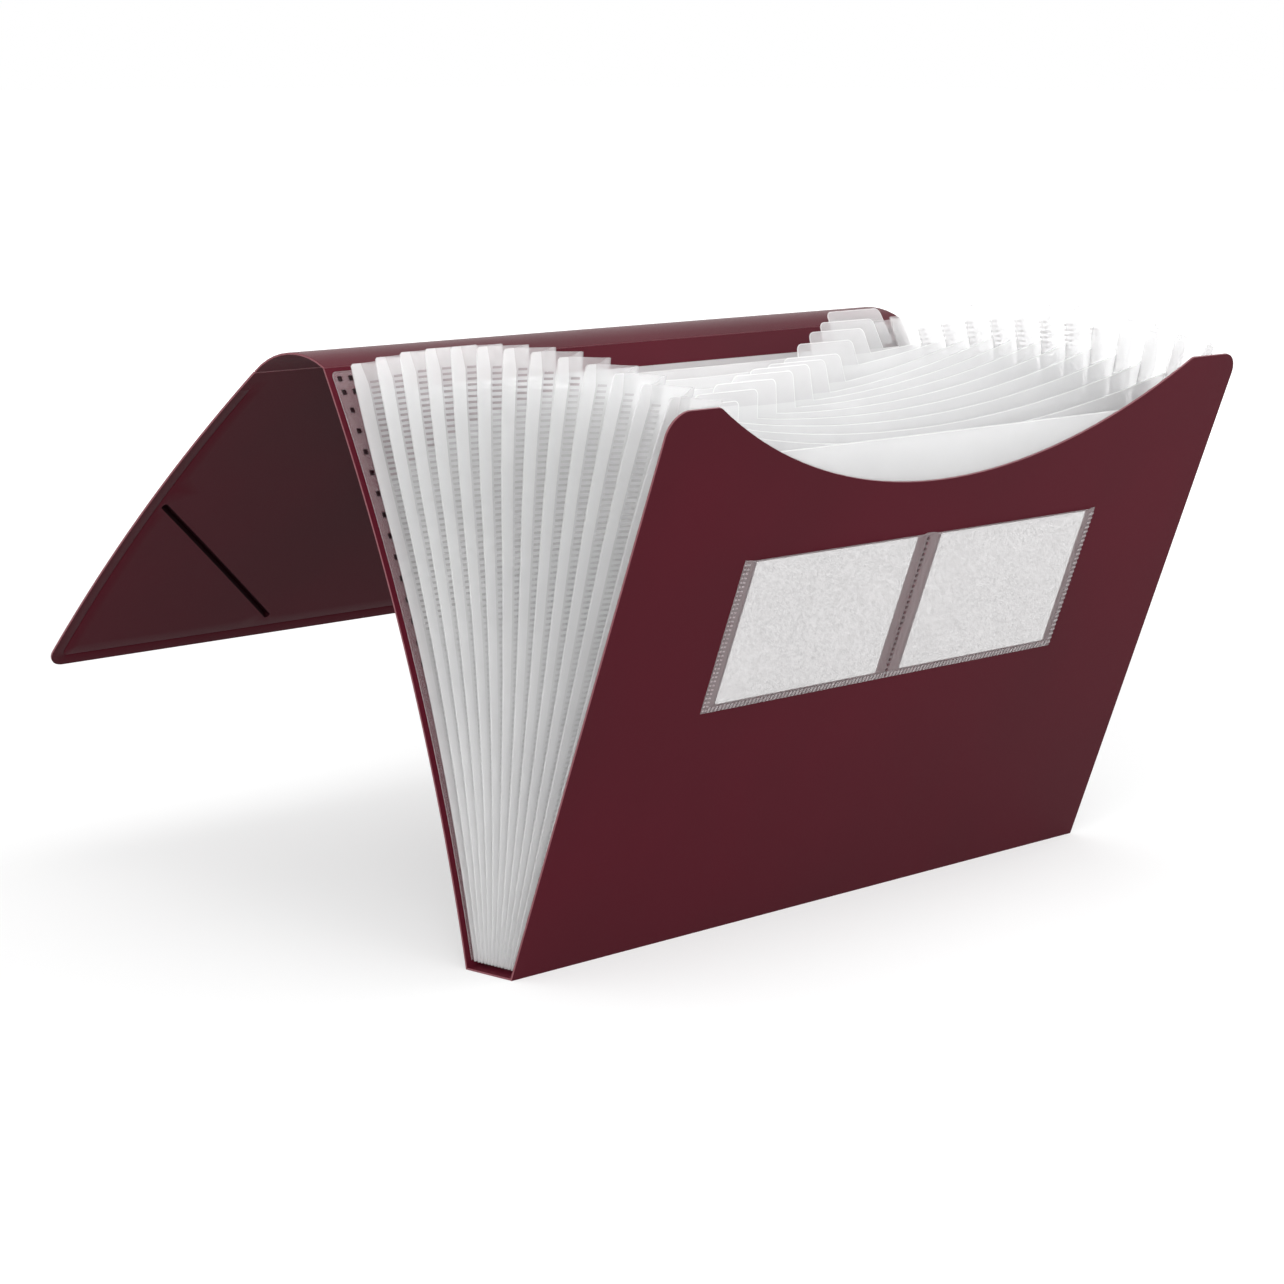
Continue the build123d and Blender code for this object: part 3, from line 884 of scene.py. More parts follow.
def cut_edge_highlight_material():
    """Cut edge of the sheet, painted paler as a highlight where light catches it."""
    cover = setting("cover")
    finish = Finish("cover_edge_highlight")
    streaks = finish.noise(scale=900.0, detail=3.0)
    finish.tones(streaks, cover.edge_colour, shaded(cover.edge_colour, 0.8))
    finish.put("Roughness", 0.5)
    finish.relief(streaks, strength=0.2)
    return finish.material


def painted_lip_shade_material():
    """Painted shade on the lips of the flap's slits: a dark colour that stands in for the shadow inside the cut."""
    finish = Finish("slit_lip_painted_shade")
    streaks = finish.noise(scale=700.0, detail=3.0)
    finish.tones(streaks, first=(0.016, 0.002, 0.004), second=(0.010, 0.001, 0.002))
    finish.put("Roughness", 0.6)
    finish.put("Specular IOR Level", 0.03)
    finish.relief(streaks, strength=0.2)
    return finish.material


def film_material(name, haze, tint, roughness, bump=0.25, top_haze=None):
    """Translucent film with a frosted grain and cloudy patches, clearer to its top where that is given."""
    finish = Finish(name)
    clouds = finish.noise(scale=28.0)
    grain = finish.noise(scale=650.0, detail=3.0)
    finish.tones(clouds, tint, shaded(tint, 0.94))
    finish.feed("Roughness", finish.ranged(grain, to_low=roughness - 0.06, to_high=roughness + 0.08))
    finish.relief(grain, strength=bump)
    finish.put("Alpha", haze)
    if top_haze is not None:
        finish.feed("Alpha", finish.by_height(haze, top_haze))
    finish.put("IOR", 1.49)
    finish.put("Subsurface Weight", 1.0)
    finish.put("Subsurface Radius", (1.0, 1.0, 1.0))
    finish.put("Subsurface Scale", setting("insert").scatter)
    return finish.material


def card_material():
    """White card with paper fibres."""
    label = setting("label")
    finish = Finish("card_paper")
    fibres = finish.noise(scale=760.0, detail=3.0)
    finish.tones(fibres, label.card_colour, shaded(label.card_colour, 0.79), low=0.42, high=0.6)
    finish.feed("Roughness", finish.ranged(fibres, to_low=0.7, to_high=0.85))
    finish.relief(fibres, strength=0.2)
    return finish.material


def weld_material():
    """Dark spot weld, pressed through the film."""
    finish = Finish("weld_dark")
    streaks = finish.noise(scale=900.0)
    finish.tones(streaks, first=(0.012, 0.002, 0.004), second=(0.008, 0.001, 0.002))
    finish.feed("Roughness", finish.ranged(streaks, to_low=0.5, to_high=0.65))
    finish.put("Specular IOR Level", 0.1)
    finish.relief(streaks, strength=0.2)
    return finish.material


def shared(name, make):
    """A material that several pieces share."""
    return bpy.data.materials.get(name) or make()


def cover_materials():
    """The cover's sheet and its cut edge, painted paler as a highlight."""
    return [shared("grained_sheet", cover_material), shared("cover_edge_highlight", cut_edge_highlight_material)]


def film_materials():
    """The insert's films, in the order of FREE to FAINT_STITCH."""
    insert = setting("insert")
    bright = (0.95, 0.95, 0.955)
    fin = {"haze": insert.fin_haze, "top_haze": insert.fin_top_haze}
    pleat = {"haze": insert.pleat_haze, "top_haze": insert.pleat_top_haze}
    stitch = {"roughness": 0.2, "bump": 0.1}
    looks = {
        "film_free": dict(haze=insert.haze, tint=insert.colour, roughness=0.38),
        # Painted highlight along the film's cut edges.
        "film_edge_highlight": dict(haze=0.43, tint=bright, roughness=0.3),
        "film_fin": dict(tint=bright, roughness=0.34, **fin),
        "film_stitch": dict(haze=0.40, tint=(0.27, 0.22, 0.23), **stitch),
        "film_stitch_pale": dict(haze=0.17, tint=(0.64, 0.62, 0.625), **stitch),
        "film_pleat": dict(tint=bright, roughness=0.36, **pleat),
        # Pink tint painted in for the panel's red bounce light.
        "film_resting": dict(haze=insert.resting_haze, tint=insert.resting_colour, roughness=0.36, bump=0.05),
        # Painted shade on the index tabs, which catch the light from above.
        "film_tab_shaded": dict(haze=insert.tab_haze, tint=insert.tab_colour, roughness=0.38),
        "film_stitch_faint": dict(haze=0.06, tint=(0.90, 0.895, 0.90), **stitch),
    }
    return [bpy.data.materials.get(name) or film_material(name, **look) for name, look in looks.items()]


# Outlines, as corners (x, height, radius)


def front_corners():
    """Front panel with its thumb notch."""
    cover = setting("cover")
    top = cover.front_height
    low = -cover.thickness / 2
    left = cover.left_horn - HALF_WIDTH
    right = HALF_WIDTH - cover.right_horn
    half = (right - left) / 2
    centre = (left + right) / 2
    notch = []
    radius = (half**2 + cover.notch_depth**2) / (2 * cover.notch_depth)
    spread = atan2(half, radius - cover.notch_depth)
    for index in range(1, NOTCH_POINTS):
        angle = spread * (1 - 2 * index / NOTCH_POINTS)
        notch.append((centre + radius * sin(angle), top - cover.notch_depth + radius * (1 - cos(angle)), 0.0))
    return [
        (-HALF_WIDTH, low, 0.0), (HALF_WIDTH, low, 0.0), (HALF_WIDTH, top, cover.corner_radius),
        (right, top, cover.notch_corner), *notch, (left, top, cover.notch_corner),
        (-HALF_WIDTH, top, cover.corner_radius),
    ]


def tab_top(number):
    """Height of a sheet's index tab."""
    insert = setting("insert")
    if number == 0:
        return insert.back_tab_top
    return max(insert.lowest_tab, insert.second_tab_top - insert.tab_step * (number - 1))


def tab_left(number):
    """Left end of a tab's top."""
    insert = setting("insert")
    return HALF_WIDTH - insert.first_tab - insert.tab_width - insert.tab_pitch * number


def divider_edge(number, x):
    """Height of a divider's upper edge beside its tab, which dips to the middle."""
    insert = setting("insert")
    half = HALF_WIDTH - insert.divider_inset
    side = back_sheet().chord - insert.divider_drop
    middle = tab_top(number) - insert.tab_rise
    return middle + (side - middle) * (x / half) ** 2


def tab_foot(number):
    """Level line across the foot of a divider's tab, or nothing where it has none."""
    insert = setting("insert")
    if number >= insert.tabbed_sheets:
        return None
    left = tab_left(number)
    right = left + insert.tab_width
    ends = (left - insert.tab_slant, right + insert.tab_slant)
    height = max(divider_edge(number, x) for x in ends)
    spread = insert.tab_slant * (tab_top(number) - height) / insert.tab_rise
    return Vector((left - spread, height)), Vector((right + spread, height))


def divider_corners(number):
    """Divider whose upper edge dips to the middle, with its tab."""
    insert = setting("insert")
    half = HALF_WIDTH - insert.divider_inset
    side = back_sheet().chord - insert.divider_drop
    top = tab_top(number)

    def edge(x):
        return divider_edge(number, x)

    def foot(corner, way):
        """Where a tab's slanted side meets the edge, found in a few passes."""
        x = corner
        for _ in range(TAB_PASSES):
            x = corner + way * insert.tab_slant * max(0.0, top - edge(x)) / insert.tab_rise
        return x

    corners = [(-half, 0.0, 0.0), (half, 0.0, 0.0), (half, side, DIVIDER_CORNER)]
    last = (-half, side, DIVIDER_CORNER)
    xs = [half * (1 - 2 * index / DIVIDER_POINTS) for index in range(1, DIVIDER_POINTS)]
    if number >= insert.tabbed_sheets:
        return [*corners, *((x, edge(x), 0.0) for x in xs), last]
    left = tab_left(number)
    right = left + insert.tab_width
    left_foot = foot(left, -1)
    right_foot = foot(right, 1)
    corners += [(x, edge(x), 0.0) for x in xs if x > right_foot + TAB_MARGIN]
    corners += [(right_foot, edge(right_foot), 0.0), (right, top, insert.tab_corner)]
    corners += [(left, top, insert.tab_corner), (left_foot, edge(left_foot), 0.0)]
    corners += [(x, edge(x), 0.0) for x in xs if x < left_foot - TAB_MARGIN]
    return [*corners, last]


# Operators


def finish_cover(piece):
    """Gives a panel of the cover its thickness and its rounded cut edges, painted paler as a highlight."""
    cover = setting("cover")
    round_edges(thicken(piece, cover.thickness, rim_offset=1), cover.edge_round)


def add_panel(name, node, sheet, corners, steps):
    """Puts a plain panel of the cover in place of its solid, to be straightened where it is bowed."""
    mesh = laid(name, sheet, corners, steps)
    piece = add_piece(name, mesh, cover_materials(), node, "cover_sheet", [node])
    if sheet.bow:
        flatten_when_closed(piece, sheet)
    finish_cover(piece)


class AccordionOperator(bpy.types.Operator):
    """Base of the operators that build one group of pieces."""

    bl_options = {"REGISTER", "UNDO"}


class ACCORDION_OT_spines(AccordionOperator):
    """Build the bottom spine and the arched top spine"""

    bl_idname = "accordion.spines"
    bl_label = "Spines"

    def execute(self, context):
        cover = setting("cover")
        stop = cover.thickness / 2 + cover.crease_gap
        front = joint_place("front_fold")
        depth = (joint_place("back_fold") - front).length
        bottom = Sheet(front, Vector((0, 1, 0)), Vector((0, 0, 1)), depth)
        corners = oblong(HALF_WIDTH, stop, depth - stop)
        add_panel("bottom_spine_sheet", "bottom_spine", bottom, corners, BOTTOM_STEPS)
        top = top_sheet()
        corners = oblong(HALF_WIDTH, -cover.thickness / 2, top.chord - stop)
        add_panel("top_spine_arch", "top_spine", top, corners, ARCH_STEPS)
        return {"FINISHED"}


class ACCORDION_OT_panels(AccordionOperator):
    """Build the front panel with its thumb notch and the bowed back panel"""

    bl_idname = "accordion.panels"
    bl_label = "Panels"

    def execute(self, context):
        cover = setting("cover")
        add_panel("front_cover", "front_panel", front_sheet(), front_corners(), PANEL_STEPS)
        back = back_sheet()
        high = back.chord - cover.thickness / 2 - cover.crease_gap
        corners = oblong(HALF_WIDTH, -cover.thickness / 2, high)
        add_panel("back_cover", "back_panel", back, corners, PANEL_STEPS)
        return {"FINISHED"}


class ACCORDION_OT_flap(AccordionOperator):
    """Build the flap with its pressed border line and corner slits"""

    bl_idname = "accordion.flap"
    bl_label = "Flap"

    def execute(self, context):
        cover = setting("cover")
        corners = oblong(HALF_WIDTH, 0, cover.flap_length, cover.corner_radius)
        slits = [self.slit_ends(cover, side) for side in (-1, 1)]
        mouths = [self.slot(ends, cover.slit_width / 2) for ends in slits]
        holes = [self.slot(ends, cover.lip_gap / 2) for ends in slits]
        lines = [mouth + mouth[:1] for mouth in mouths]
        for offset in (-0.5, 0.0, 0.5):
            lines.append(self.border(cover, cover.border_inset + offset * cover.border_width))
        for index in range(1, CREASE_LINES + 1):
            height = index / CREASE_LINES * cover.crease_bend
            across = [Vector((-HALF_WIDTH, height)), Vector((HALF_WIDTH, height))]
            lines.append(divided(across, FLAP_STEPS.field))

        def relief(point):
            return self.lip_rise(cover, point, slits) + self.border_rise(cover, point)

        def shade_on_lips(point):
            """Place of a point's material, which is the third, the painted shade, on the lips."""
            return 2 if any(inside(point, mouth) for mouth in mouths) else 0

        sheet = flap_sheet()
        mesh = laid("flap_cover", sheet, corners, FLAP_STEPS, holes, lines, relief, shade_on_lips)
        # The third material is painted shade for the inside of the slits' curled lips.
        materials = [*cover_materials(), shared("slit_lip_painted_shade", painted_lip_shade_material)]
        bend = ("flap", place(sheet, 0, 0), place(sheet, 0, cover.crease_bend))
        piece = add_piece("flap_cover", mesh, materials, "top_spine", "cover_sheet", ["flap"], bend)
        finish_cover(piece)
        return {"FINISHED"}

    @staticmethod
    def slit_ends(cover, side):
        """The two ends of a slit's middle line."""
        outer = Vector((side * (HALF_WIDTH - cover.slit_outer_inset), cover.slit_outer_drop))
        inner = Vector((side * (HALF_WIDTH - cover.slit_inner_inset), cover.slit_inner_drop))
        run = (inner - outer).normalized() * cover.slit_width / 2
        return outer + run, inner - run

    @staticmethod
    def slot(ends, radius):
        """Closed loop at a distance round a slit's middle line."""
        start, end = ends
        along = (end - start).normalized()
        heading = atan2(along.y, along.x)
        loop = []
        for centre, first in ((end, heading - pi / 2), (start, heading + pi / 2)):
            for index in range(SLIT_END_POINTS + 1):
                angle = first + pi * index / SLIT_END_POINTS
                loop.append(centre + Vector((cos(angle), sin(angle))) * radius)
        return divided(loop + loop[:1], FLAP_STEPS.edge)[:-1]

    @staticmethod
    def border(cover, inset):
        """Line at an inset round the flap's free edges."""
        x = HALF_WIDTH - inset
        far = cover.flap_length - inset
        near = 2 * cover.border_inset
        radius = max(LEAST_RADIUS, cover.corner_radius - inset)
        path = [Vector((-x, near))]
        for corner, before, after in (
            ((-x, far), (-x, near), (x, far)),
            ((x, far), (-x, far), (x, near)),
        ):
            path += rounded_corner(Vector(before), Vector(corner), Vector(after), radius)
        return divided(path + [Vector((x, near))], FLAP_STEPS.edge)

    @staticmethod
    def border_rise(cover, point):
        """Depth of the pressed border line at a point."""
        side = HALF_WIDTH - abs(point.x)
        end = cover.flap_length - point.y
        radius = cover.corner_radius
        inset = min(side, end)
        if side < radius and end < radius:
            inset = radius - hypot(radius - side, radius - end)
        if point.y < 2 * cover.border_inset:
            return 0.0
        from_line = abs(inset - cover.border_inset)
        return cover.border_depth * max(0.0, 1 - from_line / (0.5 * cover.border_width))

    @staticmethod
    def lip_rise(cover, point, slits):
        """How far the lips of the slits curl in at a point."""
        rise = 0.0
        for start, end in slits:
            run = end - start
            share_along = max(0.0, min(1.0, (point - start).dot(run) / run.length_squared))
            distance = (point - start - run * share_along).length
            reach = (cover.slit_width - cover.lip_gap) / 2
            rise = max(rise, cover.lip_depth * min(1.0, (cover.slit_width / 2 - distance) / reach))
        return rise


class ACCORDION_OT_sheets(AccordionOperator):
    """Build the insert's film sheets with their index tabs"""

    bl_idname = "accordion.sheets"
    bl_label = "Film sheets"

    def execute(self, context):
        insert = setting("insert")
        self.back_film()
        for number in range(1, POCKETS):
            name = f"film_divider_{number}"
            sheet = film_sheet(number)
            mesh = laid_with_strip(name, sheet, divider_corners(number), FILM_STEPS, insert.highlight_strip,
                                   tab_foot(number))
            piece = add_piece(name, mesh, film_materials(), film_body(number), "pocket_film",
                              [f"divider_{number}"])
            flatten_when_closed(piece, sheet)
            thicken(piece, insert.film)
        self.front_film()
        frame["nodes"]["pocket_base"].data.materials.clear()
        frame["nodes"]["pocket_base"].data.materials.append(film_materials()[FREE])
        return {"FINISHED"}

    @staticmethod
    def back_film():
        """Sheet on the back panel, with ears and a tab whose tip bends under the closing spine."""
        insert = setting("insert")
        films = film_materials()
        sheet = film_sheet(0)
        half = HALF_WIDTH - insert.flange_inset
        low = insert.end_sheet_start - insert.end_lift
        crease = back_sheet().chord - insert.end_lift
        edge = crease - insert.back_sheet_drop
        ear = crease - insert.ear_drop
        bend = crease - TAB_BEND_DROP
        top = tab_top(0) - insert.end_lift
        inner = half - insert.ear_width
        corner = insert.flange_corner

        def left(height):
            return tab_left(0) - insert.tab_slant * (top - height) / insert.tab_rise

        def right(height):
            return tab_left(0) + insert.tab_width + insert.tab_slant * (top - height) / insert.tab_rise

        def zone(point):
            """Place of a point's film: the flanges' first, pink with painted bounce light, the tab's second, darker
            with painted shade, the middle's third.
            """
            if point.y > edge and left(point.y) < point.x < right(point.y):
                return 1
            return 2 if abs(point.x) < inner else 0

        corners = [
            (-half, low, 0), (half, low, 0), (half, ear, corner), (right(ear), ear, 0),
            (right(bend), bend, 0), (left(bend), bend, 0), (left(edge), edge, 0),
            (-inner, edge, 0), (-inner, ear, corner), (-half, ear, corner),
        ]
        foot = [Vector((left(edge), edge)), Vector((right(edge), edge)), Vector((right(ear), ear))]
        sides = [[Vector((x, low)), Vector((x, edge))] for x in (-inner, inner)]
        lines = [divided(line, FILM_STEPS.edge) for line in (foot, *sides)]
        mesh = laid("back_film", sheet, corners, FILM_STEPS, lines=lines, mark=zone)
        zone_films = [films[RESTING], films[SHADED_TAB], films[FREE]]
        piece = add_piece("back_film", mesh, zone_films, "back_panel", "pocket_film", ["pocket_back_sheet"])
        flatten_when_closed(piece, sheet)
        thicken(piece, insert.film, rim_offset=1)
        start = bend + TAB_GAP
        corners = [(left(start), start, 0), (right(start), start, 0),
                   (right(top), top, insert.tab_corner), (left(top), top, insert.tab_corner)]
        mesh = laid_with_strip("back_film_tab", sheet, corners, TAB_STEPS, insert.highlight_strip)
        bent = ("top_spine", place(sheet, 0, bend), place(sheet, 0, bend + insert.tab_bend))
        tab_films = [films[SHADED_TAB], films[EDGE_HIGHLIGHT]]
        piece = add_piece("back_film_tab", mesh, tab_films, "back_panel", "pocket_film", (), bent)
        thicken(piece, insert.film)

    @staticmethod
    def front_film():
        """Sheet on the front panel."""
        insert = setting("insert")
        sheet = film_sheet(POCKETS)
        half = HALF_WIDTH - insert.flange_inset
        low = insert.end_sheet_start - insert.end_lift
        top = setting("cover").front_height - insert.front_sheet_drop - insert.end_lift
        corners = oblong(half, low, top, insert.flange_corner)
        mesh = laid_with_strip("front_film", sheet, corners, FILM_STEPS, insert.highlight_strip)
        piece = add_piece("front_film", mesh, film_materials(), "front_panel", "pocket_film",
                          ["pocket_front_sheet"])
        thicken(piece, insert.film)


class ACCORDION_OT_pleats(AccordionOperator):
    """Build the side pleats: two film layers that meet in an outer fin, welded by a stitched seam"""

    bl_idname = "accordion.pleats"
    bl_label = "Side pleats"

    def execute(self, context):
        for pocket in range(1, POCKETS + 1):
            for name, side in (("left", -1), ("right", 1)):
                self.layer(pocket, name, side, pocket - 1, "rear", [f"pleat_{name}_{pocket}"])
                self.layer(pocket, name, side, pocket, "fore", [])
        return {"FINISHED"}

    @staticmethod
    def layer(pocket, side_name, side, number, layer_name, nodes):
        """One layer of a pleat, on the sheet of that number."""
        pleat = setting("pleat")
        insert = setting("insert")
        near = film_sheet(number)
        behind = film_sheet(pocket - 1)
        before = film_sheet(pocket)
        valley = HALF_WIDTH - insert.divider_inset - pleat.lap
        top = back_sheet().chord - pleat.drop
        outward = side if layer_name == "fore" else -side

        def ridge(height):
            part = max(0.0, 1 - (top - height) / pleat.ridge_taper)
            draw_in = (pleat.ridge_inset - pleat.ridge_low_inset) * part * part
            return HALF_WIDTH - pleat.ridge_low_inset - draw_in

        def fin_base(height):
            opening = max(0.0, 1 - (top - height) / pleat.seam_start)
            width = pleat.fin_low_width + (pleat.fin_width - pleat.fin_low_width) * height / top
            return ridge(height) - width + (width - pleat.fin_top_width) * opening

        def point(column, height):
            weld = fin_base(height)
            if column <= WEB_COLUMNS:
                part = column / WEB_COLUMNS
                x = valley + (weld - valley) * part
                away = eased(part)
            else:
                x = weld + (ridge(height) - weld) * (column - WEB_COLUMNS) / FIN_COLUMNS
                away = 1.0
            middle = (place(behind, side * x, height) + place(before, side * x, height)) / 2
            start = place(near, side * x, height)
            gap = middle - start
            room = max(0.0, gap.length - pleat.layer_gap / 2)
            lap = insert.film
            return start + gap.normalized() * (lap + (room - lap) * away)

        def column_top(column):
            x = pleat.fin_top_width * (1 - max(0, column - WEB_COLUMNS) / FIN_COLUMNS)
            if x >= pleat.corner:
                return top
            return top - pleat.corner + sqrt(pleat.corner**2 - (pleat.corner - x) ** 2)

        def stitch_film(order):
            if order < pleat.clear_stitches:
                return STITCH
            return PALE_STITCH if order < pleat.grey_stitches else FAINT_STITCH

        columns = WEB_COLUMNS + FIN_COLUMNS
        points = []
        for row in range(PLEAT_ROWS + 1):
            for column in range(columns + 1):
                run = column_top(column) - pleat.start
                points.append(point(column, pleat.start + run * (row / PLEAT_ROWS) ** ROW_POWER))
        faces = [quad if outward > 0 else quad[::-1] for quad in grid_faces(PLEAT_ROWS, columns)]
        marks = ([PLEAT] * WEB_COLUMNS + [FIN] * FIN_COLUMNS) * PLEAT_ROWS
        height = top - pleat.seam_start
        while height > pleat.seam_end:
            first = len(points)
            low = height - pleat.stitch_height
            for share_across, level in (
                (pleat.seam_from, height), (pleat.seam_to, height),
                (pleat.seam_to, low), (pleat.seam_from, low),
            ):
                spot = point(WEB_COLUMNS * (1 - share_across), level)
                inward = (place(behind, 0, level) + place(before, 0, level)) / 2 - place(near, 0, level)
                points.append(spot - inward.normalized() * pleat.stitch_lift)
            faces.append((first, first + 1, first + 2, first + 3))
            order = (top - pleat.seam_start - height) / pleat.stitch_pitch
            marks.append(stitch_film(order + pleat.stitch_step * (pocket - 1)))
            height -= pleat.stitch_pitch
        name = f"gusset_{side_name}_{pocket}_{layer_name}"
        mesh = mesh_of(name, points, faces, marks)
        piece = add_piece(name, mesh, film_materials(), film_body(number), "pocket_film", nodes)
        flatten_when_closed(piece, near)
        thicken(piece, insert.film * pleat.film_share)


class ACCORDION_OT_spot_welds(AccordionOperator):
    """Build the square spot welds on the back flange"""

    bl_idname = "accordion.spot_welds"
    bl_label = "Spot welds"

    def execute(self, context):
        weld = setting("weld")
        insert = setting("insert")
        sheet = film_sheet(0)
        flange = HALF_WIDTH - insert.flange_inset
        ear = back_sheet().chord - insert.ear_drop - insert.end_lift
        cluster = ear - weld.cluster_drop
        spots = []
        for side in (-1, 1):
            height = weld.start
            while height < cluster - weld.cluster_drop + weld.slack:
                spots.append((side * (flange - weld.inset), height))
                height += weld.pitch
            for row in CLUSTER_ROWS:
                for column in CLUSTER_COLUMNS:
                    x = flange - weld.inset + (column - CLUSTER_SHIFT) * weld.cluster_pitch
                    spots.append((side * x, cluster + row * weld.cluster_pitch))
        points = []
        faces = []
        rim = insert.film / 2 - WELD_SINK
        sides = len(SQUARE)
        for x, height in spots:
            first = len(points)
            for inset, rise in WELD_RINGS:
                reach = weld.size / 2 - inset
                for way_x, way_y in SQUARE:
                    points.append(place(sheet, x + way_x * reach, height + way_y * reach, rim + rise))
            last = len(points) - sides
            for ring in range(first, last, sides):
                for corner in range(sides):
                    after = (corner + 1) % sides
                    faces.append((ring + corner, ring + after, ring + sides + after, ring + sides + corner))
            faces.append(tuple(range(last, last + sides)))
            faces.append(tuple(reversed(range(first, first + sides))))
        mesh = mesh_of("spot_welds", points, faces)
        for polygon in mesh.polygons:
            polygon.use_smooth = False
        material = shared("weld_dark", weld_material)
        piece = add_piece("spot_welds", mesh, [material], "back_panel", "weld_mark", ["back_spot_welds"])
        flatten_when_closed(piece, sheet)
        return {"FINISHED"}


class ACCORDION_OT_label_pocket(AccordionOperator):
    """Build the clear label pocket with its welded margins"""

    bl_idname = "accordion.label_pocket"
    bl_label = "Label pocket"

    def execute(self, context):
        label = setting("label")
        cover = setting("cover")
        panel = front_sheet()
        cell = label.card_width + 2 * label.card_clearance
        half = cell + label.side_weld + label.middle_weld / 2
        height = label.bottom_weld + label.card_height + label.card_clearance + label.top_inset
        left = label.centre - half
        right = label.centre + half
        top = label.bottom + height
        face = cover.thickness / 2

        def rise(x, y):
            """Rise of the film over the panel's middle surface: low on its welds, high over the cards."""
            from_weld = min(
                x - left - SIDE_HOLD, right - x - SIDE_HOLD, y - label.bottom - BOTTOM_HOLD,
                abs(x - label.centre) - MIDDLE_HOLD,
            )
            part = max(0.0, min(1.0, from_weld / HOLD_SLOPE))
            low = label.film / 2 + HOLD_GAP
            high = label.standoff + label.film / 2
            return face + low + (high - low) * eased(part)

        across = []
        for reach in (0.0, HOLD_SLOPE):
            across += [left + SIDE_HOLD + reach, right - SIDE_HOLD - reach]
            across += [label.centre - MIDDLE_HOLD - reach, label.centre + MIDDLE_HOLD + reach]
        up = [label.bottom + BOTTOM_HOLD, label.bottom + BOTTOM_HOLD + HOLD_SLOPE]
        xs = self.places(left, right, across, SLOPE_STEP_ACROSS)
        ys = self.places(label.bottom, top, up, SLOPE_STEP_UP)
        points = [place(panel, x, y, rise(x, y)) for y in ys for x in xs]
        faces = grid_faces(len(ys) - 1, len(xs) - 1)
        clear, weld, seam = range(3)
        marks = [clear] * len(faces)

        def stitch(x, y, hatch, mark):
            first = len(points)
            for way_x, way_y in SQUARE:
                spot_x = x + way_x * hatch.wide / 2
                spot_y = y + way_y * hatch.tall / 2
                lift = rise(spot_x, spot_y) + label.film / 2 + HATCH_LIFT
                points.append(place(panel, spot_x, spot_y, lift))
            faces.append((first, first + 1, first + 2, first + 3))
            marks.append(mark)

        for y in self.run(label.bottom, top, LEFT_HATCH):
            for x in (left + LEFT_HATCH.inset, left + LEFT_HATCH.inset + LEFT_ROW_STEP):
                stitch(x, y, LEFT_HATCH, weld)
        for y in self.run(label.bottom, top, MIDDLE_HATCH):
            stitch(label.centre, y, MIDDLE_HATCH, seam)
        for y in self.run(label.bottom, top, RIGHT_HATCH):
            stitch(right - RIGHT_HATCH.inset, y, RIGHT_HATCH, weld)
        for x in self.run(left, right, BOTTOM_HATCH):
            stitch(x, label.bottom + BOTTOM_HATCH.inset, BOTTOM_HATCH, weld)
        mesh = mesh_of("label_window", points, faces, marks)
        materials = [
            film_material("label_clear", haze=label.haze, tint=label.colour, roughness=0.32, bump=0.08),
            film_material("label_weld", haze=0.28, tint=(0.80, 0.74, 0.75), roughness=0.3),
            film_material("label_seam", haze=0.75, tint=(0.05, 0.012, 0.016), roughness=0.3),
        ]
        piece = add_piece("label_window", mesh, materials, "front_panel", "label_film", ["label_pocket"])
        thicken(piece, label.film)
        return {"FINISHED"}

    @staticmethod
    def places(low, high, fixed, fine):
        """Places from low to high: close together on the slopes between fixed places, wide elsewhere."""
        stops = [low, *sorted(fixed), high]
        found = [low]
        for start, end in zip(stops, stops[1:]):
            step = fine if end - start < LONGEST_SLOPE else LABEL_STEP
            count = max(1, ceil((end - start) / step))
            found += [start + (end - start) * index / count for index in range(1, count + 1)]
        return found

    @staticmethod
    def run(low, high, hatch):
        """Places of a weld's stitches along a side of the pocket."""
        found = []
        spot = low + hatch.start
        while spot < high - hatch.end:
            found.append(spot)
            spot += hatch.pitch
        return found


class ACCORDION_OT_cards(AccordionOperator):
    """Build the two label cards"""

    bl_idname = "accordion.cards"
    bl_label = "Label cards"

    def execute(self, context):
        label = setting("label")
        panel = front_sheet()
        material = shared("card_paper", card_material)
        cell = label.card_width + 2 * label.card_clearance
        shift = (cell + label.middle_weld) / 2
        low = label.bottom + label.bottom_weld + label.card_clearance
        middle = setting("cover").thickness / 2 + label.standoff / 2
        for name, side in (("left", -1), ("right", 1)):
            x = label.centre + side * shift
            corners = oblong(label.card_width / 2, low, low + label.card_height, CARD_CORNER, CARD_CORNER, x)
            piece_name = f"label_card_{name}"
            mesh = laid(piece_name, panel, corners, CARD_STEPS, rise=lambda point: middle)
            piece = add_piece(piece_name, mesh, [material], f"card_{name}", "label_card", [f"card_{name}"])
            round_edges(thicken(piece, label.card_thickness), CARD_ROUNDING)
        return {"FINISHED"}


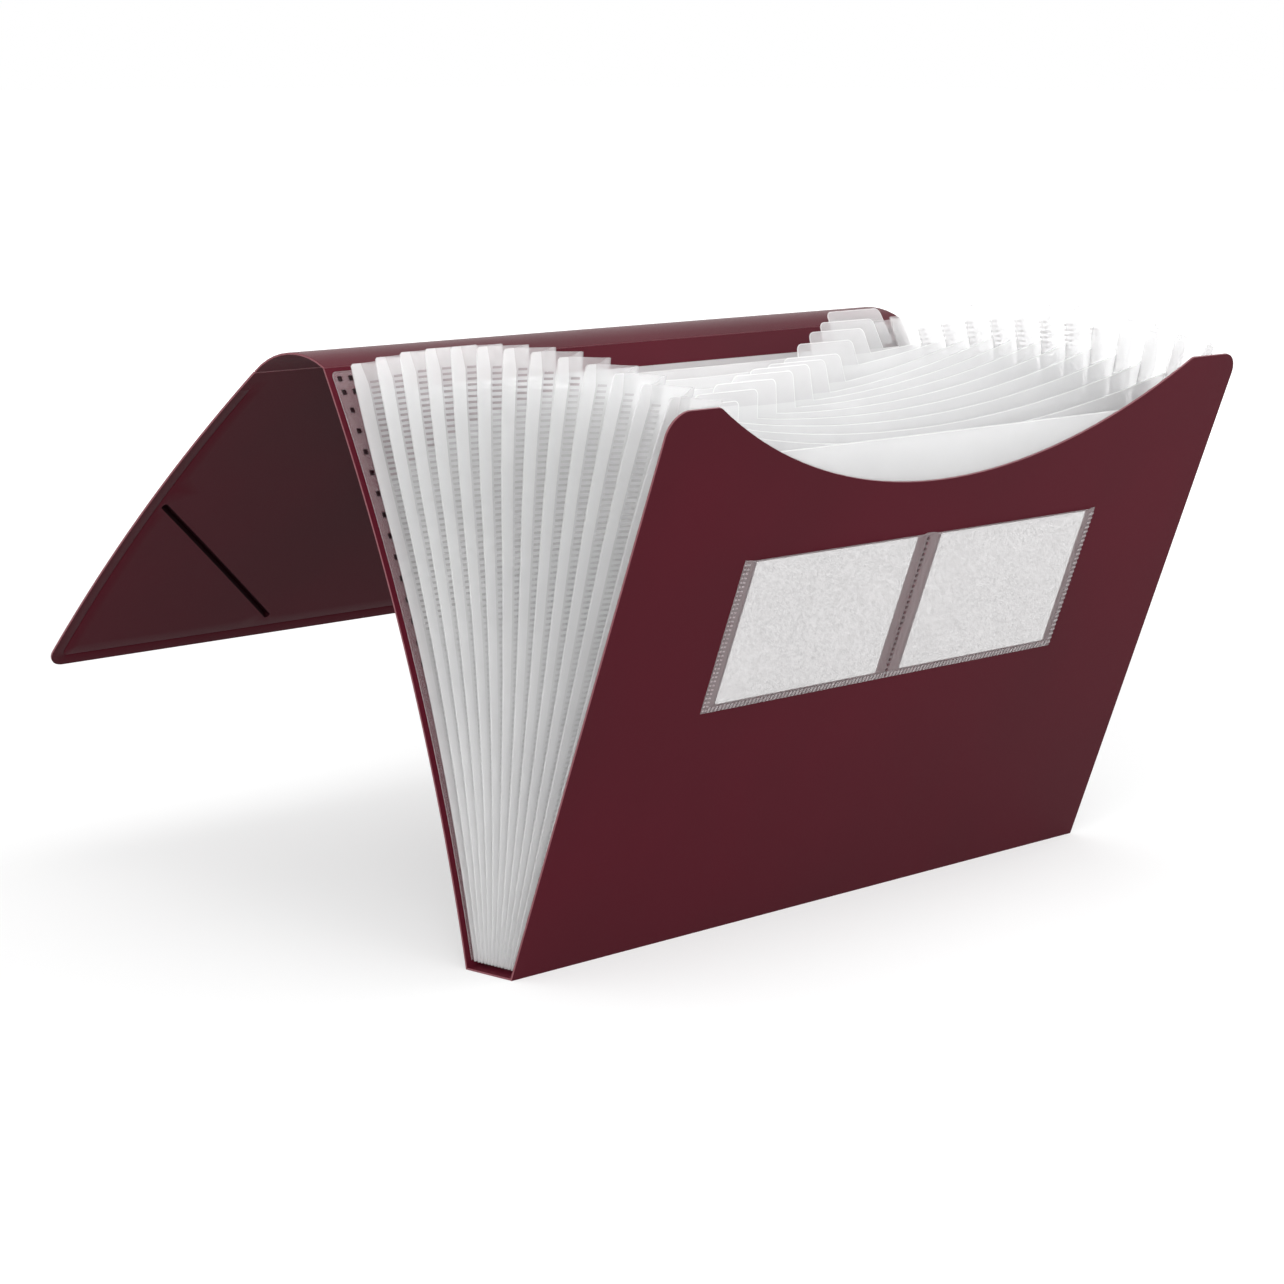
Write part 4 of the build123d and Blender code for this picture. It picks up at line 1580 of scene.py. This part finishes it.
class ACCORDION_OT_stage(AccordionOperator):
    """Build the floor, the light and the camera"""

    bl_idname = "accordion.stage"
    bl_label = "Stage"

    def execute(self, context):
        stage = setting("stage")
        scene = bpy.context.scene
        scene.view_settings.view_transform = "Standard"
        self.floor(stage)
        self.sky(scene, stage)
        for lamp in LAMPS:
            self.softbox(lamp)
        camera = bpy.data.objects.new("camera", bpy.data.cameras.new("camera"))
        scene.collection.objects.link(camera)
        camera.location = stage.camera_place
        camera.rotation_euler = (pi / 2 - stage.camera_pitch, 0, -stage.camera_heading)
        camera.data.lens = stage.camera_lens
        scene.camera = camera
        return {"FINISHED"}

    @staticmethod
    def floor(stage):
        """Pale floor, which the camera sees as white where no shadow falls."""
        half = stage.floor_size / 2
        mesh = bpy.data.meshes.new("floor")
        mesh.from_pydata([(x * half, y * half, 0) for x, y in SQUARE], [], [(0, 1, 2, 3)])
        floor = bpy.data.objects.new("floor", mesh)
        bpy.context.scene.collection.objects.link(floor)
        finish = Finish("floor")
        finish.put("Base Color", (*stage.floor_colour, 1.0))
        finish.put("Roughness", 0.9)
        finish.put("Specular IOR Level", 0.0)
        distance = finish.add("VectorMath", operation="LENGTH")
        finish.link(finish.add("NewGeometry").outputs["Position"], distance.inputs[0])
        glow = finish.ranged(distance.outputs["Value"], stage.glow_low, 1.0, stage.glow_near, stage.glow_far)
        seen_glow = finish.add("Math", operation="MULTIPLY")
        finish.link(finish.background_rays(), seen_glow.inputs[0])
        finish.link(glow, seen_glow.inputs[1])
        finish.put("Emission Color", (1, 1, 1, 1))
        finish.feed("Emission Strength", seen_glow.outputs["Value"])
        mesh.materials.append(finish.material)
        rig.stage(floor)

    @staticmethod
    def sky(scene, stage):
        """Even light, which the camera sees as white."""
        world = bpy.data.worlds.new("sky")
        scene.world = world
        world.use_nodes = True
        nodes = Nodes(world.node_tree)
        background = nodes.tree.nodes["Background"]
        background.inputs["Color"].default_value = (1, 1, 1, 1)
        strength = nodes.ranged(nodes.background_rays(), stage.sky_strength, 1.0)
        nodes.link(strength, background.inputs["Strength"])

    @staticmethod
    def softbox(lamp):
        """A square lamp that faces the file."""
        light = bpy.data.objects.new(lamp.name, bpy.data.lights.new(lamp.name, "AREA"))
        bpy.context.scene.collection.objects.link(light)
        light.data.size = lamp.size
        light.data.energy = lamp.power
        light.location = lamp.place
        aim = Vector(LAMP_AIM) - Vector(lamp.place)
        light.rotation_euler = aim.to_track_quat("-Z", "Y").to_euler()


class ACCORDION_PT_sidebar(bpy.types.Panel):
    """Lists the operators and settings of the accordion file"""

    bl_idname = "ACCORDION_PT_sidebar"
    bl_label = "Accordion File"
    bl_space_type = "VIEW_3D"
    bl_region_type = "UI"
    bl_category = "Accordion File"

    def draw(self, context):
        for operator in OPERATORS:
            self.layout.operator(operator.bl_idname)
        for group, kind in SETTINGS.items():
            box = self.layout.box()
            box.label(text=group.title())
            for name in kind.__annotations__:
                box.prop(setting(group), name)


SETTINGS = {
    "cover": CoverSettings,
    "insert": InsertSettings,
    "pleat": PleatSettings,
    "weld": WeldSettings,
    "label": LabelSettings,
    "stage": StageSettings,
}
OPERATORS = (
    ACCORDION_OT_spines,
    ACCORDION_OT_panels,
    ACCORDION_OT_flap,
    ACCORDION_OT_sheets,
    ACCORDION_OT_pleats,
    ACCORDION_OT_spot_welds,
    ACCORDION_OT_label_pocket,
    ACCORDION_OT_cards,
    ACCORDION_OT_stage,
)


def register():
    """Adds the settings, the operators and the panel."""
    for name, group in SETTINGS.items():
        bpy.utils.register_class(group)
        setattr(bpy.types.Scene, "accordion_" + name, PointerProperty(type=group))
    for operator in OPERATORS:
        bpy.utils.register_class(operator)
    bpy.utils.register_class(ACCORDION_PT_sidebar)


def unregister():
    """Takes the panel, the operators and the settings away again."""
    bpy.utils.unregister_class(ACCORDION_PT_sidebar)
    for operator in reversed(OPERATORS):
        bpy.utils.unregister_class(operator)
    for name, group in reversed(SETTINGS.items()):
        delattr(bpy.types.Scene, "accordion_" + name)
        bpy.utils.unregister_class(group)


def main():
    """Builds every piece and writes the two boxes."""
    register()
    for operator in OPERATORS:
        category, name = operator.bl_idname.split(".")
        getattr(getattr(bpy.ops, category), name)()
    boxes = {"cad": [list(corner) for corner in CAD_BOX], "visual": [list(corner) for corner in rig.bounds()]}
    with open("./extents.json", "w") as out:
        json.dump(boxes, out)


if __name__ == "__main__":
    main()
